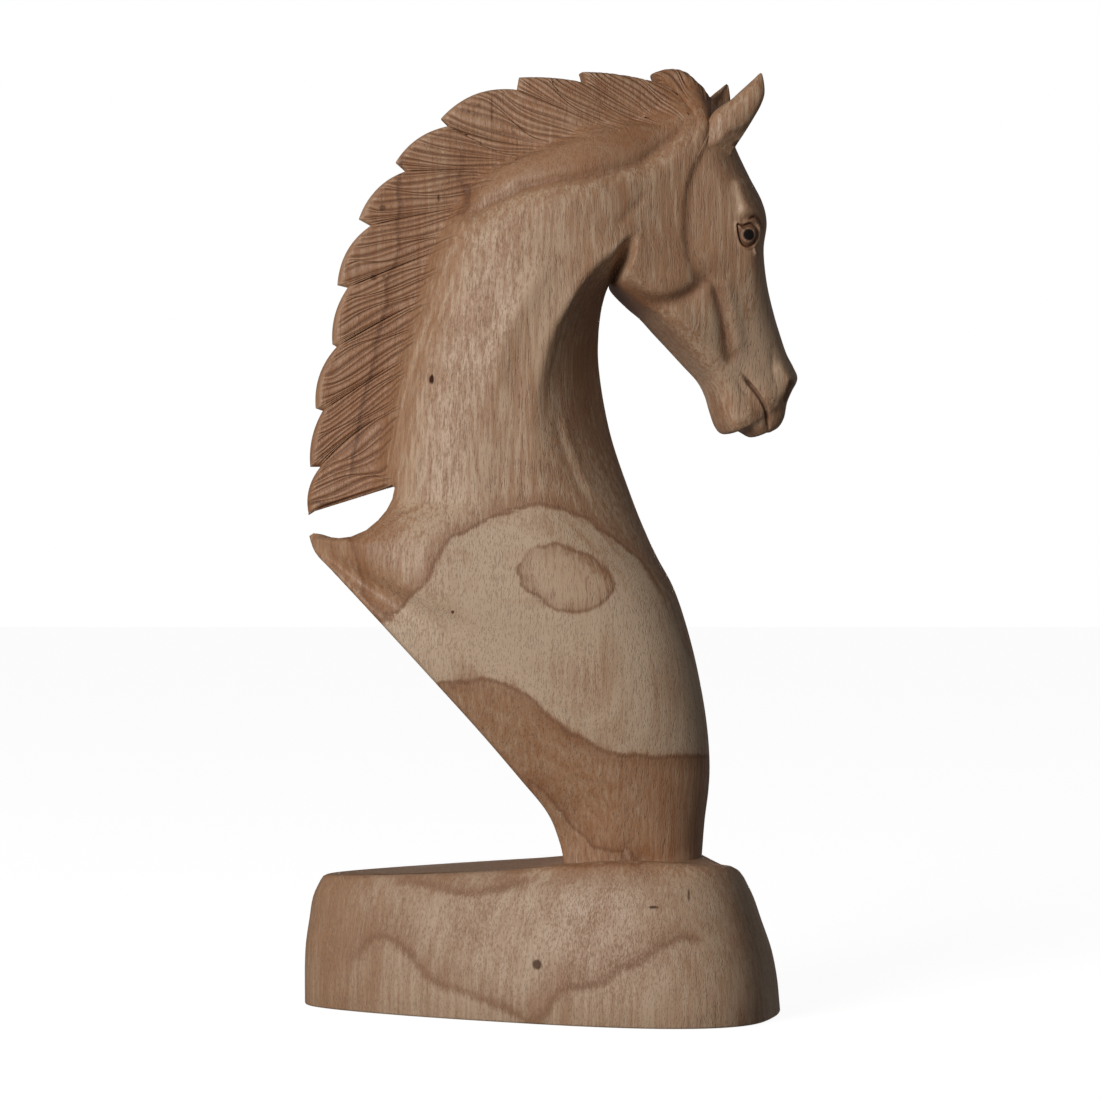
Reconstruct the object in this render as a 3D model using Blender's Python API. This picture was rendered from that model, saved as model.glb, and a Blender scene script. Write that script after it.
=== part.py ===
"""Horse head and neck on a slice of log, carved from one block of wood.

The whole carving is one skin, drawn as a tube of sections: under the base, up its side, over its top,
up the chest and neck with the mane as a plate behind it, round the poll, and down the head to the lips.
Each section has a path in the side plane, from the back outline to the front outline, and a half
thickness along that path. The near half is made, mirrored, and the head is then turned a little.

Metres, +Z up, the horse looks along +X. The origin is on the floor under the middle of the length.
"""

import math

import bmesh
import bpy
import numpy as np

# Driving sizes, in metres
BUST_HEIGHT = 0.3364
BUST_FOOT_CLIMB = 0.782
BASE_LENGTH = 0.2058
BASE_TOP_LENGTH = 0.1840
BASE_WIDTH = 0.0810
BASE_TOP_WIDTH = 0.0590
BASE_TAPER = 0.38
BASE_FAR_SPREAD = 0.55
BASE_HEIGHT_BACK = 0.0560
BASE_HEIGHT_FRONT = 0.0670
BASE_FRONT_DIP = 0.0030
BASE_MIDDLE_CLIMB = 0.51
BASE_FAR_FALL = 0.0055
BASE_SQUARENESS = 2.5
BASE_RIM_RADIUS = 0.0025
BASE_FOOT_RADIUS = 0.0010
BASE_SHIFT = -0.0068
BASE_TOP_SHIFT = -0.0105
BASE_TURN = math.radians(-17.0)
BUST_SETBACK = 0.0352
EAR_LENGTH = 0.0385
EAR_WIDTH = 0.0150
EAR_WALL = 0.0019
HEAD_TURN = math.radians(14.0)

# Where the fall of the base's front corner starts and how far it runs, along and across, in millimetres
FALL_START = (45.0, -32.0)
FALL_RUN = (20.0, 30.0)

# Side of the base, from its foot to its rim: share of the height, of the narrowing and of the lean backwards
BASE_SIDE = [(0.0, 0.0, 0.0), (0.26, 0.07, 0.2), (0.47, 0.2, 0.45), (0.68, 0.45, 0.75), (0.9, 0.75, 1.0),
             (1.0, 1.0, 1.0)]

# The bust is drawn in millimetres at this height, with its foot here
DRAWN_HEIGHT = 336.4
DRAWN_FOOT_X = 34.9
DRAWN_FOOT_Z = 64.6

# Back outline, mane root line and front outline of the body, from the foot to the withers
BODY_BACK = [(5.6, 62.7), (3.2, 73.5), (-2.0, 86.0), (-13.4, 100.3), (-30.2, 120.2), (-50.8, 143.2),
             (-72.6, 166.8), (-91.6, 186.6), (-99.0, 194.0), (-102.0, 200.0), (-103.2, 206.0)]
BODY_FRONT = [(63.8, 66.3), (65.0, 81.2), (66.6, 93.9), (67.1, 104.5), (66.4, 117.3), (64.4, 132.2),
              (60.6, 151.0), (55.8, 168.5), (51.2, 181.0), (45.0, 192.5), (40.4, 202.3)]
BODY_ROOT = [(30.3, 63.5), (29.5, 76.3), (27.1, 88.5), (20.6, 101.3), (10.0, 118.3), (-5.0, 138.0),
             (-28.0, 159.0), (-45.0, 174.0), (-54.0, 184.0), (-60.0, 195.0), (-64.0, 209.0)]

# Locks of the mane from the withers to the forelock: tip, notch above it, middle and root of its lower edge
LOCK_TIP = [(-103.3, 211.7), (-102.6, 231.2), (-100.3, 256.1), (-93.2, 283.3), (-91.1, 308.4),
            (-81.9, 336.4), (-66.2, 360.4), (-47.0, 378.9), (-14.0, 396.1), (12.3, 398.6), (44.0, 399.1),
            (68.4, 389.1)]
LOCK_NOTCH = [(-98.2, 231.2), (-97.3, 255.0), (-91.4, 282.2), (-86.7, 307.3), (-76.9, 333.6), (-62.0, 356.6),
              (-43.8, 375.7), (-14.9, 391.0), (13.6, 394.0), (45.5, 394.5), (68.4, 389.1)]
LOCK_MIDDLE = [(-79.0, 219.3), (-82.5, 246.1), (-77.8, 267.8), (-71.0, 293.7), (-64.2, 316.6),
               (-56.5, 337.9), (-40.8, 357.0), (-19.6, 368.1), (3.8, 382.1), (29.3, 383.8), (52.0, 389.0),
               (65.0, 382.0)]
LOCK_ROOT = [(-66.7, 222.7), (-62.0, 258.0), (-57.4, 280.9), (-48.9, 305.0), (-42.1, 325.0), (-32.0, 342.0),
             (-17.4, 357.0), (3.8, 366.3), (23.8, 373.1), (44.0, 375.3), (57.5, 377.5), (62.0, 372.0)]
LOCK_FRONT = [(34.8, 216.0), (26.4, 240.0), (22.2, 258.0), (19.9, 275.0), (19.9, 287.0), (20.9, 296.5),
              (22.3, 302.8), (23.6, 306.6), (24.6, 308.6), (25.0, 308.8), (25.4, 308.4), (25.8, 307.6)]
LOCK_BULGE = [0.12, 0.08, 0.11, 0.09, 0.12, 0.12, 0.11, 0.13, 0.03, 0.04, 0.0]
FORELOCK_TOP = [(44.0, 399.4), (48.5, 400.8), (53.5, 401.0), (57.8, 399.6), (61.5, 396.4), (65.0, 393.4),
                (68.0, 389.0)]
NOTCH_SHARE = 0.045

# Profile of the face and of the jaw, from the forehead to the lips
FACE = [(73.6, 380.0), (79.2, 366.4), (84.6, 355.2), (90.0, 345.0), (92.2, 336.0), (91.6, 325.0),
        (93.6, 311.2), (97.0, 298.3), (100.6, 287.4), (103.2, 280.1), (105.8, 275.0), (107.8, 270.0),
        (105.4, 264.6), (103.3, 259.4), (102.0, 253.2), (99.6, 248.8), (96.0, 246.4)]
JAW = [(26.3, 306.8), (27.6, 305.3), (30.6, 302.6), (35.3, 298.8), (41.2, 294.6), (47.1, 288.8),
       (53.8, 282.0), (60.5, 274.6), (66.1, 268.2), (69.2, 262.0), (71.2, 255.2), (73.6, 248.6),
       (76.6, 245.6), (82.2, 247.0), (88.0, 244.3), (92.0, 246.0), (93.4, 246.2)]
HEAD_ROOT_SHARE = 0.40

# Section stations along the tube: the foot, the first lock, the first section of the head and the lips
FOOT = -11.0
FIRST_LOCK = 0.0
FORELOCK = 11.0
LIPS = 28.0

# Half thicknesses and reaches in millimetres, as pairs of a station and a value
FLESH_HALF = [(-11, 27), (-10, 29.5), (-9, 31.5), (-8, 34), (-7, 37), (-6, 39.5), (-5, 41.5), (-4, 42.5),
              (-3, 42), (-2, 40.5), (-1, 38.5), (0, 36.5), (1, 34.5), (2, 33.5), (3, 33), (5, 31.5),
              (7, 29.5), (9, 27.5), (10, 26.5), (11, 25.5), (12, 24.5), (13, 24), (14, 24.5), (15, 25.5),
              (16, 25.5), (17, 25), (18, 23), (19, 20), (20, 17.5), (21, 16), (22, 15.5), (23, 15),
              (24, 13.5), (25, 11.5), (26, 9.5), (27, 7), (28, 1.5)]
EDGE_HALF = [(-11, 22), (-10, 22), (-9, 25), (-8, 29), (-7, 33), (-6, 36), (-5, 34), (-4, 24), (-3, 17),
             (-2, 12), (-1, 8.5), (0, 5.5), (8, 5.5), (9, 6), (10, 7.5), (11, 10), (12, 13), (14, 15),
             (16, 15), (18, 10), (20, 8), (22, 9), (24, 8), (26, 6), (28, 1)]
EDGE_ROUND = [(-11, 3), (-4, 3), (0, 4), (10, 4), (11, 6), (12, 8), (14, 8), (16, 8), (18, 8),
              (20, 7.5), (22, 7.5), (26, 5), (28, 1)]
ROOT_HALF = [(-11, 25), (-8, 33), (-6, 39), (-5, 38), (-4, 32), (-3, 27), (-2, 22), (-1, 17), (0, 13),
             (8, 13), (9, 15), (10, 18), (11, 20), (12, 20.5), (14, 21), (16, 21), (18, 16), (20, 12),
             (23, 11), (26, 8), (28, 1.5)]
FLESH_BACK_REACH = [(-11, 20), (-8, 40), (-5, 60), (-2, 60), (0, 50), (3, 53), (7, 40), (10, 30), (12, 26),
                    (14, 20), (16, 18), (20, 16), (28, 10)]
FRONT_REACH = [(-11, 22), (-8, 45), (-5, 55), (-3, 55), (-1, 50), (0, 44), (1, 36), (2, 30), (3, 25),
               (4, 20), (5, 16), (6, 14.5), (7, 14.5), (9.3, 21), (10.3, 12), (11, 8), (13, 7), (17, 9),
               (20, 9), (23, 7), (28, 3)]
FRONT_ROUND = [(-11, 2.2), (0, 2.0), (1, 1.7), (2, 1.4), (3, 1.3), (7, 1.3), (9.3, 1.15), (10.3, 1.5),
               (11, 2), (28, 2)]
FLESH_START = 10.0
THINNEST = 0.05
BLEND = 6.0

# Carving on the mane, in millimetres
DIVIDE_STEP = 1.1
LOCK_CROWN = 0.8
DIVIDE_FADE = 0.5
GROOVES_IN_LOCK = 3
GROOVE_DEPTH = 0.6
FORELOCK_END = 0.3

# Relief on the neck and head: points in the side plane, reach, depth (out is positive), all in millimetres
RELIEF = [
    # Ridge between the side of the neck and the throat, and the dip of the throat in front of it
    ([(24.5, 322.0), (18.0, 316.0), (11.5, 306.0), (6.0, 294.0), (0.5, 280.0), (-3.0, 264.0),
      (-4.0, 250.0)], 3.2, 1.3),
    ([(23.5, 317.0), (18.5, 307.0), (13.5, 295.0), (9.5, 281.0), (8.5, 265.0), (11.0, 250.0)], 4.5, -2.2),
    # Crease on the neck below the mane
    ([(56.3, 378.0), (47.9, 368.0), (32.2, 357.0), (18.3, 352.0), (0.6, 348.5), (-11.0, 345.5),
      (-23.0, 340.0), (-40.0, 328.0)], 5.0, -1.5),
    # Rear of the jaw, dip under the cheek and the swell of the cheek
    ([(31.7, 348.0), (25.2, 326.6)], 4.0, -1.6),
    ([(22.0, 304.0), (36.2, 298.7), (45.4, 297.6), (54.0, 301.5), (64.0, 308.0)], 3.6, -3.2),
    ([(27.0, 318.0), (38.8, 322.0), (50.0, 316.0)], 13.0, 2.2),
    # Groove from the ear round the back of the temple to the cheekbone
    ([(61.7, 365.2), (55.5, 356.2), (52.9, 348.5), (52.0, 340.5), (51.6, 326.6), (52.4, 319.4),
      (55.5, 311.5), (62.5, 308.1)], 3.2, -1.5),
    # Groove and ridge down the side of the nose
    ([(64.0, 309.4), (67.1, 298.5), (69.8, 288.3), (72.0, 280.3), (73.7, 272.7)], 2.6, -1.6),
    ([(67.0, 313.0), (71.0, 302.0), (74.5, 290.0), (77.0, 280.0)], 2.6, 1.2),
    # Brow, hollow of the temple, eye socket and eyeball
    ([(73.5, 346.0), (76.5, 340.0), (82.0, 337.5)], 3.2, 1.6),
    ([(66.5, 352.0), (70.0, 343.0)], 5.0, -1.6),
    ([(80.1, 329.4)], 6.5, -3.2),
    ([(80.1, 329.4)], 3.8, 5.2),
    # Wing of the nostril and its opening
    ([(96.5, 273.5), (100.5, 273.0), (103.5, 270.0)], 2.2, 1.6),
    ([(99.6, 267.6), (100.6, 264.6)], 2.2, -3.2),
    # Mouth, lower lip and upper lip
    ([(78.6, 271.3), (80.2, 268.8), (86.7, 261.4), (90.2, 255.7), (91.6, 250.5)], 1.6, -2.4),
    ([(82.5, 253.5), (88.0, 249.0)], 3.0, 1.0),
    ([(84.0, 271.0), (92.0, 262.0)], 4.5, 1.0),
]

# Places of the side plane whose facets stay fine, each with its reach
FINE_PLACES = [((80.1, 330.5), 8.5), ((99.0, 268.0), 7.0), ((86.0, 259.5), 9.0)]
FINE_SHARE = 0.02
FINE_HALF = 14.0

# Hollow under the last lock: its outline, cut right through
HOLLOW = [(-125.0, 205.5), (-104.2, 210.2), (-101.0, 212.4), (-90.0, 215.9), (-79.0, 219.4), (-67.0, 223.4),
          (-65.9, 222.0), (-66.9, 217.2), (-69.2, 212.6), (-72.6, 208.4), (-77.6, 204.2), (-84.0, 201.5),
          (-89.9, 200.8), (-94.6, 201.4), (-98.2, 202.6), (-100.6, 203.0), (-102.8, 201.6), (-125.0, 202.0)]
HOLLOW_EDGE = 2.6

# Turn of the head: it grows with this measure from the neck to the poll
TURN_X = 15.0
TURN_START = (5.0, 300.0)
TURN_RUN = (50.0, 150.0)

# Ears in millimetres: root, tip and the way each opens at its root and its tip, on the near side
EAR_ROOT = (69.5, -12.5, 365.0)
EAR_TIP_NEAR = (84.6, -26.0, 397.4)
EAR_TIP_FAR = (86.0, -29.0, 399.3)
EAR_OPENS_LOW = (0.75, 0.40, -0.50)
EAR_OPENS_HIGH = (0.30, 0.93, -0.15)
EAR_SHAPE = [(0.0, 1.10), (0.15, 1.12), (0.35, 1.06), (0.5, 1.0), (0.7, 0.78), (0.85, 0.46), (0.95, 0.19),
             (1.0, 0.05)]
EAR_DEPTH = 0.72
EAR_BEND = 1.2
EAR_SUNK = 4.0
EAR_RINGS = 22
EAR_POINTS = 12

# Mesh fineness
SECTIONS_PER_LOCK = 22
POINTS_ROUND_HALF = 64
PATH_POINTS = 90
ROOT_COLUMN = 0.45
TRIANGLES = 9400

WOOD_COLOUR = (0.30, 0.175, 0.105, 1.0)
WOOD_ROUGHNESS = 0.55


def spline(knots, values, at):
    """Smooth curve through values at knots, read at the numbers in at."""
    knots = np.asarray(knots, float)
    values = np.asarray(values, float)
    flat = values.ndim == 1
    if flat:
        values = values[:, None]
    step = np.diff(knots)
    slope = np.diff(values, axis=0) / step[:, None]
    tangent = np.empty_like(values)
    tangent[0], tangent[-1] = slope[0], slope[-1]
    share = (step[:-1] / (step[:-1] + step[1:]))[:, None]
    tangent[1:-1] = slope[:-1] * (1 - share) + slope[1:] * share
    index = np.clip(np.searchsorted(knots, at, side="right") - 1, 0, len(knots) - 2)
    t = ((at - knots[index]) / step[index])[:, None]
    h = step[index][:, None]
    start, end = values[index], values[index + 1]
    result = (start * (2 * t**3 - 3 * t**2 + 1) + tangent[index] * h * (t**3 - 2 * t**2 + t)
              + end * (3 * t**2 - 2 * t**3) + tangent[index + 1] * h * (t**3 - t**2))
    return result[:, 0] if flat else result


def station_value(pairs, at):
    knots, values = zip(*pairs)
    return spline(knots, values, at)


def smooth_step(t):
    t = np.clip(t, 0.0, 1.0)
    return t * t * (3 - 2 * t)


def smooth_max(a, b, blend):
    share = np.clip(0.5 + 0.5 * (a - b) / blend, 0.0, 1.0)
    return b + (a - b) * share + blend * share * (1 - share)


def distance_to_line(x, z, points):
    """Distance to a chain of points, and the share of the chain's length at the nearest place."""
    points = np.asarray(points, float)
    if len(points) == 1:
        return np.hypot(x - points[0, 0], z - points[0, 1]), np.full(x.shape, 0.5)
    lengths = np.hypot(*np.diff(points, axis=0).T)
    starts = np.concatenate([[0], np.cumsum(lengths)])
    best = np.full(x.shape, 1e9)
    place = np.zeros(x.shape)
    for (ax, az), (bx, bz), start, length in zip(points[:-1], points[1:], starts, lengths):
        along = np.clip(((x - ax) * (bx - ax) + (z - az) * (bz - az)) / length**2, 0, 1)
        gap = np.hypot(x - ax - along * (bx - ax), z - az - along * (bz - az))
        nearer = gap < best
        best = np.where(nearer, gap, best)
        place = np.where(nearer, (start + along * length) / starts[-1], place)
    return best, place


def relief_depth(x, z):
    """Sum of the soft ridges and valleys at places in the side plane."""
    total = np.zeros(x.shape)
    for points, reach, depth in RELIEF:
        gap, place = distance_to_line(x, z, points)
        fade = 1.0 if len(points) == 1 else smooth_step(place / 0.15) * smooth_step((1 - place) / 0.15)
        total += depth * fade * np.exp(-(gap / reach) ** 2)
    return total


def lock_outline(at):
    """Outer edge of the mane: a convex arc from each tip to the notch above it, then a step out."""
    tips, notches = np.array(LOCK_TIP), np.array(LOCK_NOTCH)
    lock = np.clip(np.floor(at).astype(int), 0, len(notches) - 1)
    share = at - lock
    tip, notch = tips[lock], notches[lock]
    chord = notch - tip
    outward = np.stack([-chord[:, 1], chord[:, 0]], axis=1)
    middle = (tip + notch) / 2 + outward * 2 * np.array(LOCK_BULGE)[lock][:, None]
    t = np.clip((share - NOTCH_SHARE) / (1 - NOTCH_SHARE), 0, 1)
    forelock = spline(np.linspace(0, 1, len(FORELOCK_TOP)), FORELOCK_TOP, t)
    t = t[:, None]
    arc = tip * (1 - t) ** 2 + middle * 2 * t * (1 - t) + notch * t**2
    arc = np.where((lock == len(notches) - 1)[:, None], forelock, arc)
    below = notches[np.maximum(lock - 1, 0)]
    step = smooth_step(share / NOTCH_SHARE)[:, None]
    stepped = below + (tip - below) * step
    in_step = ((share < NOTCH_SHARE) & (lock > 0))[:, None]
    return np.where(in_step, stepped, arc)


def section_points(at):
    """Back, middle, root and front point of each section's path, in drawn millimetres."""
    face, jaw = np.array(FACE), np.array(JAW)
    head_root = face + (jaw - face) * HEAD_ROOT_SHARE
    knots = np.arange(FOOT, LIPS + 1)
    root = spline(knots, np.concatenate([BODY_ROOT, LOCK_ROOT, head_root]), at)
    front = spline(knots, np.concatenate([BODY_FRONT, LOCK_FRONT, JAW]), at)
    body_middle = (np.array(BODY_BACK) + np.array(BODY_ROOT)) / 2
    head_middle = (face + head_root) / 2
    middle = spline(knots, np.concatenate([body_middle, LOCK_MIDDLE, head_middle]), at)
    body_back = spline(knots[:12], np.concatenate([BODY_BACK, LOCK_TIP[:1]]), at)
    head_back = spline(knots[22:], np.concatenate([LOCK_TIP[-1:], FACE]), at)
    in_mane = ((at >= FIRST_LOCK) & (at < FORELOCK))[:, None]
    back = np.where(in_mane, lock_outline(at), np.where((at < FIRST_LOCK)[:, None], body_back, head_back))
    return back, middle, root, front


def bust_sections(at):
    """Dense paths of the sections at the stations in at: x, z and half thickness, in drawn millimetres."""
    back, middle, root, front = section_points(at)
    control = 2 * middle - (back + root) / 2
    t = (1 - np.cos(np.linspace(0, math.pi, PATH_POINTS))) / 2
    t = t[None, :, None]
    first = (back[:, None] * (1 - t) ** 2 + control[:, None] * 2 * t * (1 - t) + root[:, None] * t**2)
    control = (root + front) / 2 + 0.3 * (root - middle)
    second = (root[:, None] * (1 - t) ** 2 + control[:, None] * 2 * t * (1 - t) + front[:, None] * t**2)
    path = np.concatenate([first, second[:, 1:]], axis=1)
    gaps = np.hypot(*np.moveaxis(np.diff(path, axis=1), 2, 0))
    from_back = np.concatenate([np.zeros((len(at), 1)), np.cumsum(gaps, axis=1)], axis=1)
    from_front = from_back[:, -1:] - from_back
    to_root = from_back[:, PATH_POINTS - 1][:, None]

    value = {name: station_value(pairs, at)[:, None] for name, pairs in (
        ("flesh", FLESH_HALF), ("edge", EDGE_HALF), ("round", EDGE_ROUND), ("root", ROOT_HALF),
        ("back_reach", FLESH_BACK_REACH), ("front_reach", FRONT_REACH), ("front_round", FRONT_ROUND))}
    in_mane = smooth_step((at + 2) / 2)[:, None] * smooth_step((12.5 - at) / 4)[:, None]

    plate = value["edge"] + (value["root"] - value["edge"]) * np.clip(from_back / to_root, 0, 1)
    start = np.maximum(to_root - FLESH_START, 0) * in_mane
    rise = np.clip((from_back - start) / value["back_reach"], 0, 1)
    flesh = value["flesh"] * np.sqrt(np.clip(1 - (1 - rise) ** 2, 0, 1))
    half = smooth_max(plate, flesh, BLEND)
    half = half + mane_carving(at, from_back / to_root) * smooth_step(from_back / 3.0)
    inside = np.clip(from_front / value["front_reach"], 0, 1)
    power = value["front_round"]
    half = half * np.clip(1 - (1 - inside) ** power, 0, 1) ** (1 / power)
    edge = np.clip(from_back, 0, value["round"])
    rounding = np.sqrt(np.clip(value["round"]**2 - (value["round"] - edge) ** 2, 0, None))
    half = half - (value["round"] - rounding)
    x, z = path[:, :, 0], path[:, :, 1]
    fade = smooth_step(from_front / 6.0) * smooth_step(from_back / 3.0)
    half = half + relief_depth(x, z) * fade
    gap, place = distance_to_line(x, z, HOLLOW)
    cut = np.clip(HOLLOW_EDGE - gap, 0, HOLLOW_EDGE) * smooth_step((from_back - 1.0) / 6.0)
    half = half - (HOLLOW_EDGE - np.sqrt(HOLLOW_EDGE**2 - cut**2))
    half = np.maximum(half, THINNEST)
    half[:, -1] = 0.0
    return x, z, half


def mane_carving(at, share):
    """Shingled locks and their main grooves, as depth along each section of the mane."""
    lock = at - np.floor(at)
    crown = LOCK_CROWN * (1 - (2 * lock - 1) ** 2)
    shingle = DIVIDE_STEP * (1 - 2 * smooth_step((lock - NOTCH_SHARE) / (1 - NOTCH_SHARE)) ** 0.8)
    step = smooth_step(lock / NOTCH_SHARE)
    shingle = np.where(lock < NOTCH_SHARE, -DIVIDE_STEP + 2 * DIVIDE_STEP * step, shingle)
    wave = (GROOVES_IN_LOCK * lock) % 1.0
    groove = -GROOVE_DEPTH * np.abs(2 * wave - 1) ** 3
    active = (at > FIRST_LOCK) & (at < FORELOCK)
    end = smooth_step((FORELOCK - at) / FORELOCK_END)
    depth = np.where(active, (crown + shingle + groove) * end, 0.0)[:, None]
    fade = 1 - smooth_step((share - DIVIDE_FADE) / (1.05 - DIVIDE_FADE))
    return depth * fade


def base_sections(at):
    """Sections of the base, in millimetres: under it, up the side, over the rim and in to the foot."""
    mm = 1000.0
    rim, toe = BASE_RIM_RADIUS * mm, BASE_FOOT_RADIUS * mm
    heights, narrowing, lean = zip(*BASE_SIDE)
    # Each row: station, share of the height, step in at the foot or rim, drop below the share of the height
    rows = [(-15.0, 0.0, toe, 0.0), (-14.9, 0.0, toe * 0.3, -toe * 0.3), (-14.8, 0.0, 0.0, -toe),
            (-13.2, 1.0, -rim * 0.2, rim), (-13.1, 1.0, rim * 0.3, rim * 0.3), (-13.0, 1.0, rim, 0.0)]
    knots = [row[0] for row in rows]
    share, inward, drop = (np.interp(at, knots, [row[i] for row in rows])[:, None] for i in (1, 2, 3))
    narrow = spline(heights, narrowing, share[:, 0])[:, None]
    length = mm / 2 * (BASE_LENGTH + (BASE_TOP_LENGTH - BASE_LENGTH) * narrow) - inward
    width = mm / 2 * (BASE_WIDTH + (BASE_TOP_WIDTH - BASE_WIDTH) * narrow) - inward
    width = width * np.clip(at + 16.0, 0, 1)[:, None]
    shift = mm * (BASE_SHIFT + (BASE_TOP_SHIFT - BASE_SHIFT) * spline(heights, lean, share[:, 0])[:, None])
    along = -np.cos(np.linspace(0, math.pi, 2 * PATH_POINTS - 1))[None, :]
    x = along * length + shift
    z = base_height(x) * share - drop
    half = width * (1 + BASE_TAPER * along)
    half = half * np.clip(1 - np.abs(along) ** BASE_SQUARENESS, 0, 1) ** (1 / BASE_SQUARENESS)
    return x, z, half


def base_height(x):
    """Height of the base's top at x, in millimetres: it climbs to the chest and dips at the front end."""
    share = (x / 1000 - BASE_TOP_SHIFT) / BASE_TOP_LENGTH + 0.5
    high = BASE_HEIGHT_FRONT * 1000
    places = np.clip(share, 0, 1).ravel()
    low = BASE_HEIGHT_BACK * 1000
    climb = spline([0.0, 0.45, 0.88, 1.0],
                   [low, low + (high - low) * BASE_MIDDLE_CLIMB, high, high - BASE_FRONT_DIP * 1000], places)
    return climb.reshape(np.shape(x))


def place_bust(x, z):
    """Drawn millimetres of the bust to millimetres of the part."""
    scale = BUST_HEIGHT * 1000 / DRAWN_HEIGHT
    foot_x = BUST_SETBACK * 1000
    foot_z = 1000 * (BASE_HEIGHT_BACK + (BASE_HEIGHT_FRONT - BASE_HEIGHT_BACK) * BUST_FOOT_CLIMB)
    return (x - DRAWN_FOOT_X) * scale + foot_x, (z - DRAWN_FOOT_Z) * scale + foot_z, scale


def skin(at, around):
    """Places on the near half for station and column pairs, one row of columns for each station."""
    in_base = at < FOOT - 0.001
    x = np.empty((len(at), 2 * PATH_POINTS - 1))
    z, half = x.copy(), x.copy()
    if in_base.any():
        low = at[in_base]
        rim = base_sections(np.minimum(low, -13.0))
        foot = bust_sections(np.full(len(low), FOOT))
        fx, fz, scale = place_bust(foot[0], foot[1])
        inward = np.clip((low + 13.0) / 2.0, 0, 1)[:, None]
        x[in_base] = rim[0] * (1 - inward) + fx * inward
        z[in_base] = rim[1] * (1 - inward) + fz * inward
        half[in_base] = rim[2] * (1 - inward) + foot[2] * scale * inward
    if (~in_base).any():
        bx, bz, bh = bust_sections(at[~in_base])
        bx, bz, scale = place_bust(bx, bz)
        x[~in_base], z[~in_base], half[~in_base] = bx, bz, bh * scale
    # The path starts at the middle of the back, so its first step is out to the edge
    x = np.concatenate([x[:, :1], x], axis=1)
    z = np.concatenate([z[:, :1], z], axis=1)
    half = np.concatenate([np.zeros((len(at), 1)), half], axis=1)
    step = np.sqrt(np.diff(x, axis=1) ** 2 + np.diff(z, axis=1) ** 2 + np.diff(half, axis=1) ** 2)
    length = np.concatenate([np.zeros((len(at), 1)), np.cumsum(step, axis=1)], axis=1)
    out = np.empty((len(at), len(around), 3))
    for row in range(len(at)):
        to_root = length[row, PATH_POINTS]
        total = length[row, -1]
        wanted = np.where(around < ROOT_COLUMN, around / ROOT_COLUMN * to_root,
                          to_root + (around - ROOT_COLUMN) / (1 - ROOT_COLUMN) * (total - to_root))
        out[row, :, 0] = np.interp(wanted, length[row], x[row])
        out[row, :, 1] = -np.interp(wanted, length[row], half[row])
        out[row, :, 2] = np.interp(wanted, length[row], z[row])
    return out


def turn_base(points, at):
    """Widen the far side of the base and turn it: fully up to its rim, less and less towards the foot."""
    pivot = BASE_TOP_SHIFT * 1000
    share = 1 - np.clip((at + 13.0) / 2.0, 0, 1)
    angle = BASE_TURN * share
    x, y = points[:, 0] - pivot, points[:, 1] * (1 + BASE_FAR_SPREAD * share * (points[:, 1] > 0))
    turned = points.copy()
    turned[:, 0] = pivot + x * np.cos(angle) - y * np.sin(angle)
    turned[:, 1] = x * np.sin(angle) + y * np.cos(angle)
    # The front corner of the top falls away to the far side
    corner = smooth_step((turned[:, 0] - FALL_START[0]) / FALL_RUN[0])
    corner = corner * smooth_step((turned[:, 1] - FALL_START[1]) / FALL_RUN[1]) * share
    turned[:, 2] -= BASE_FAR_FALL * 1000 * corner * np.clip(points[:, 2] / (BASE_HEIGHT_FRONT * 1000), 0, 1)
    return turned


def turn_head(points):
    """Turn the head about an upright axis, more and more from the neck to the poll."""
    x, y, z = points[:, 0], points[:, 1], points[:, 2]
    start_x, start_z, scale = place_bust(TURN_START[0], TURN_START[1])
    pivot = place_bust(TURN_X, 0.0)[0]
    measure = (x - start_x) / (TURN_RUN[0] * scale) + (z - start_z) / (TURN_RUN[1] * scale)
    angle = HEAD_TURN * smooth_step(measure)
    turned = points.copy()
    turned[:, 0] = pivot + (x - pivot) * np.cos(angle) - y * np.sin(angle)
    turned[:, 1] = (x - pivot) * np.sin(angle) + y * np.cos(angle)
    return turned


def stations():
    """Stations of the sections, close together where the form changes fast."""
    parts = [np.linspace(-16, -15, 7), np.array([-14.9, -14.8]), np.linspace(-14.6, -13.2, 8),
             np.array([-13.1, -13.0]), np.linspace(-12.8, -11.1, 9), np.linspace(FOOT, -4.5, 36),
             np.linspace(-4.3, -0.1, 30)]
    step_rows = np.array([0.0, NOTCH_SHARE * 0.5, NOTCH_SHARE])
    plain_rows = np.linspace(NOTCH_SHARE, 1, SECTIONS_PER_LOCK)[1:-1]
    for lock in range(int(FORELOCK)):
        parts.append(lock + np.concatenate([step_rows, plain_rows, [0.999]]))
    parts.append(np.linspace(FORELOCK, LIPS, 130))
    return np.unique(np.round(np.concatenate(parts), 5))


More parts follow.
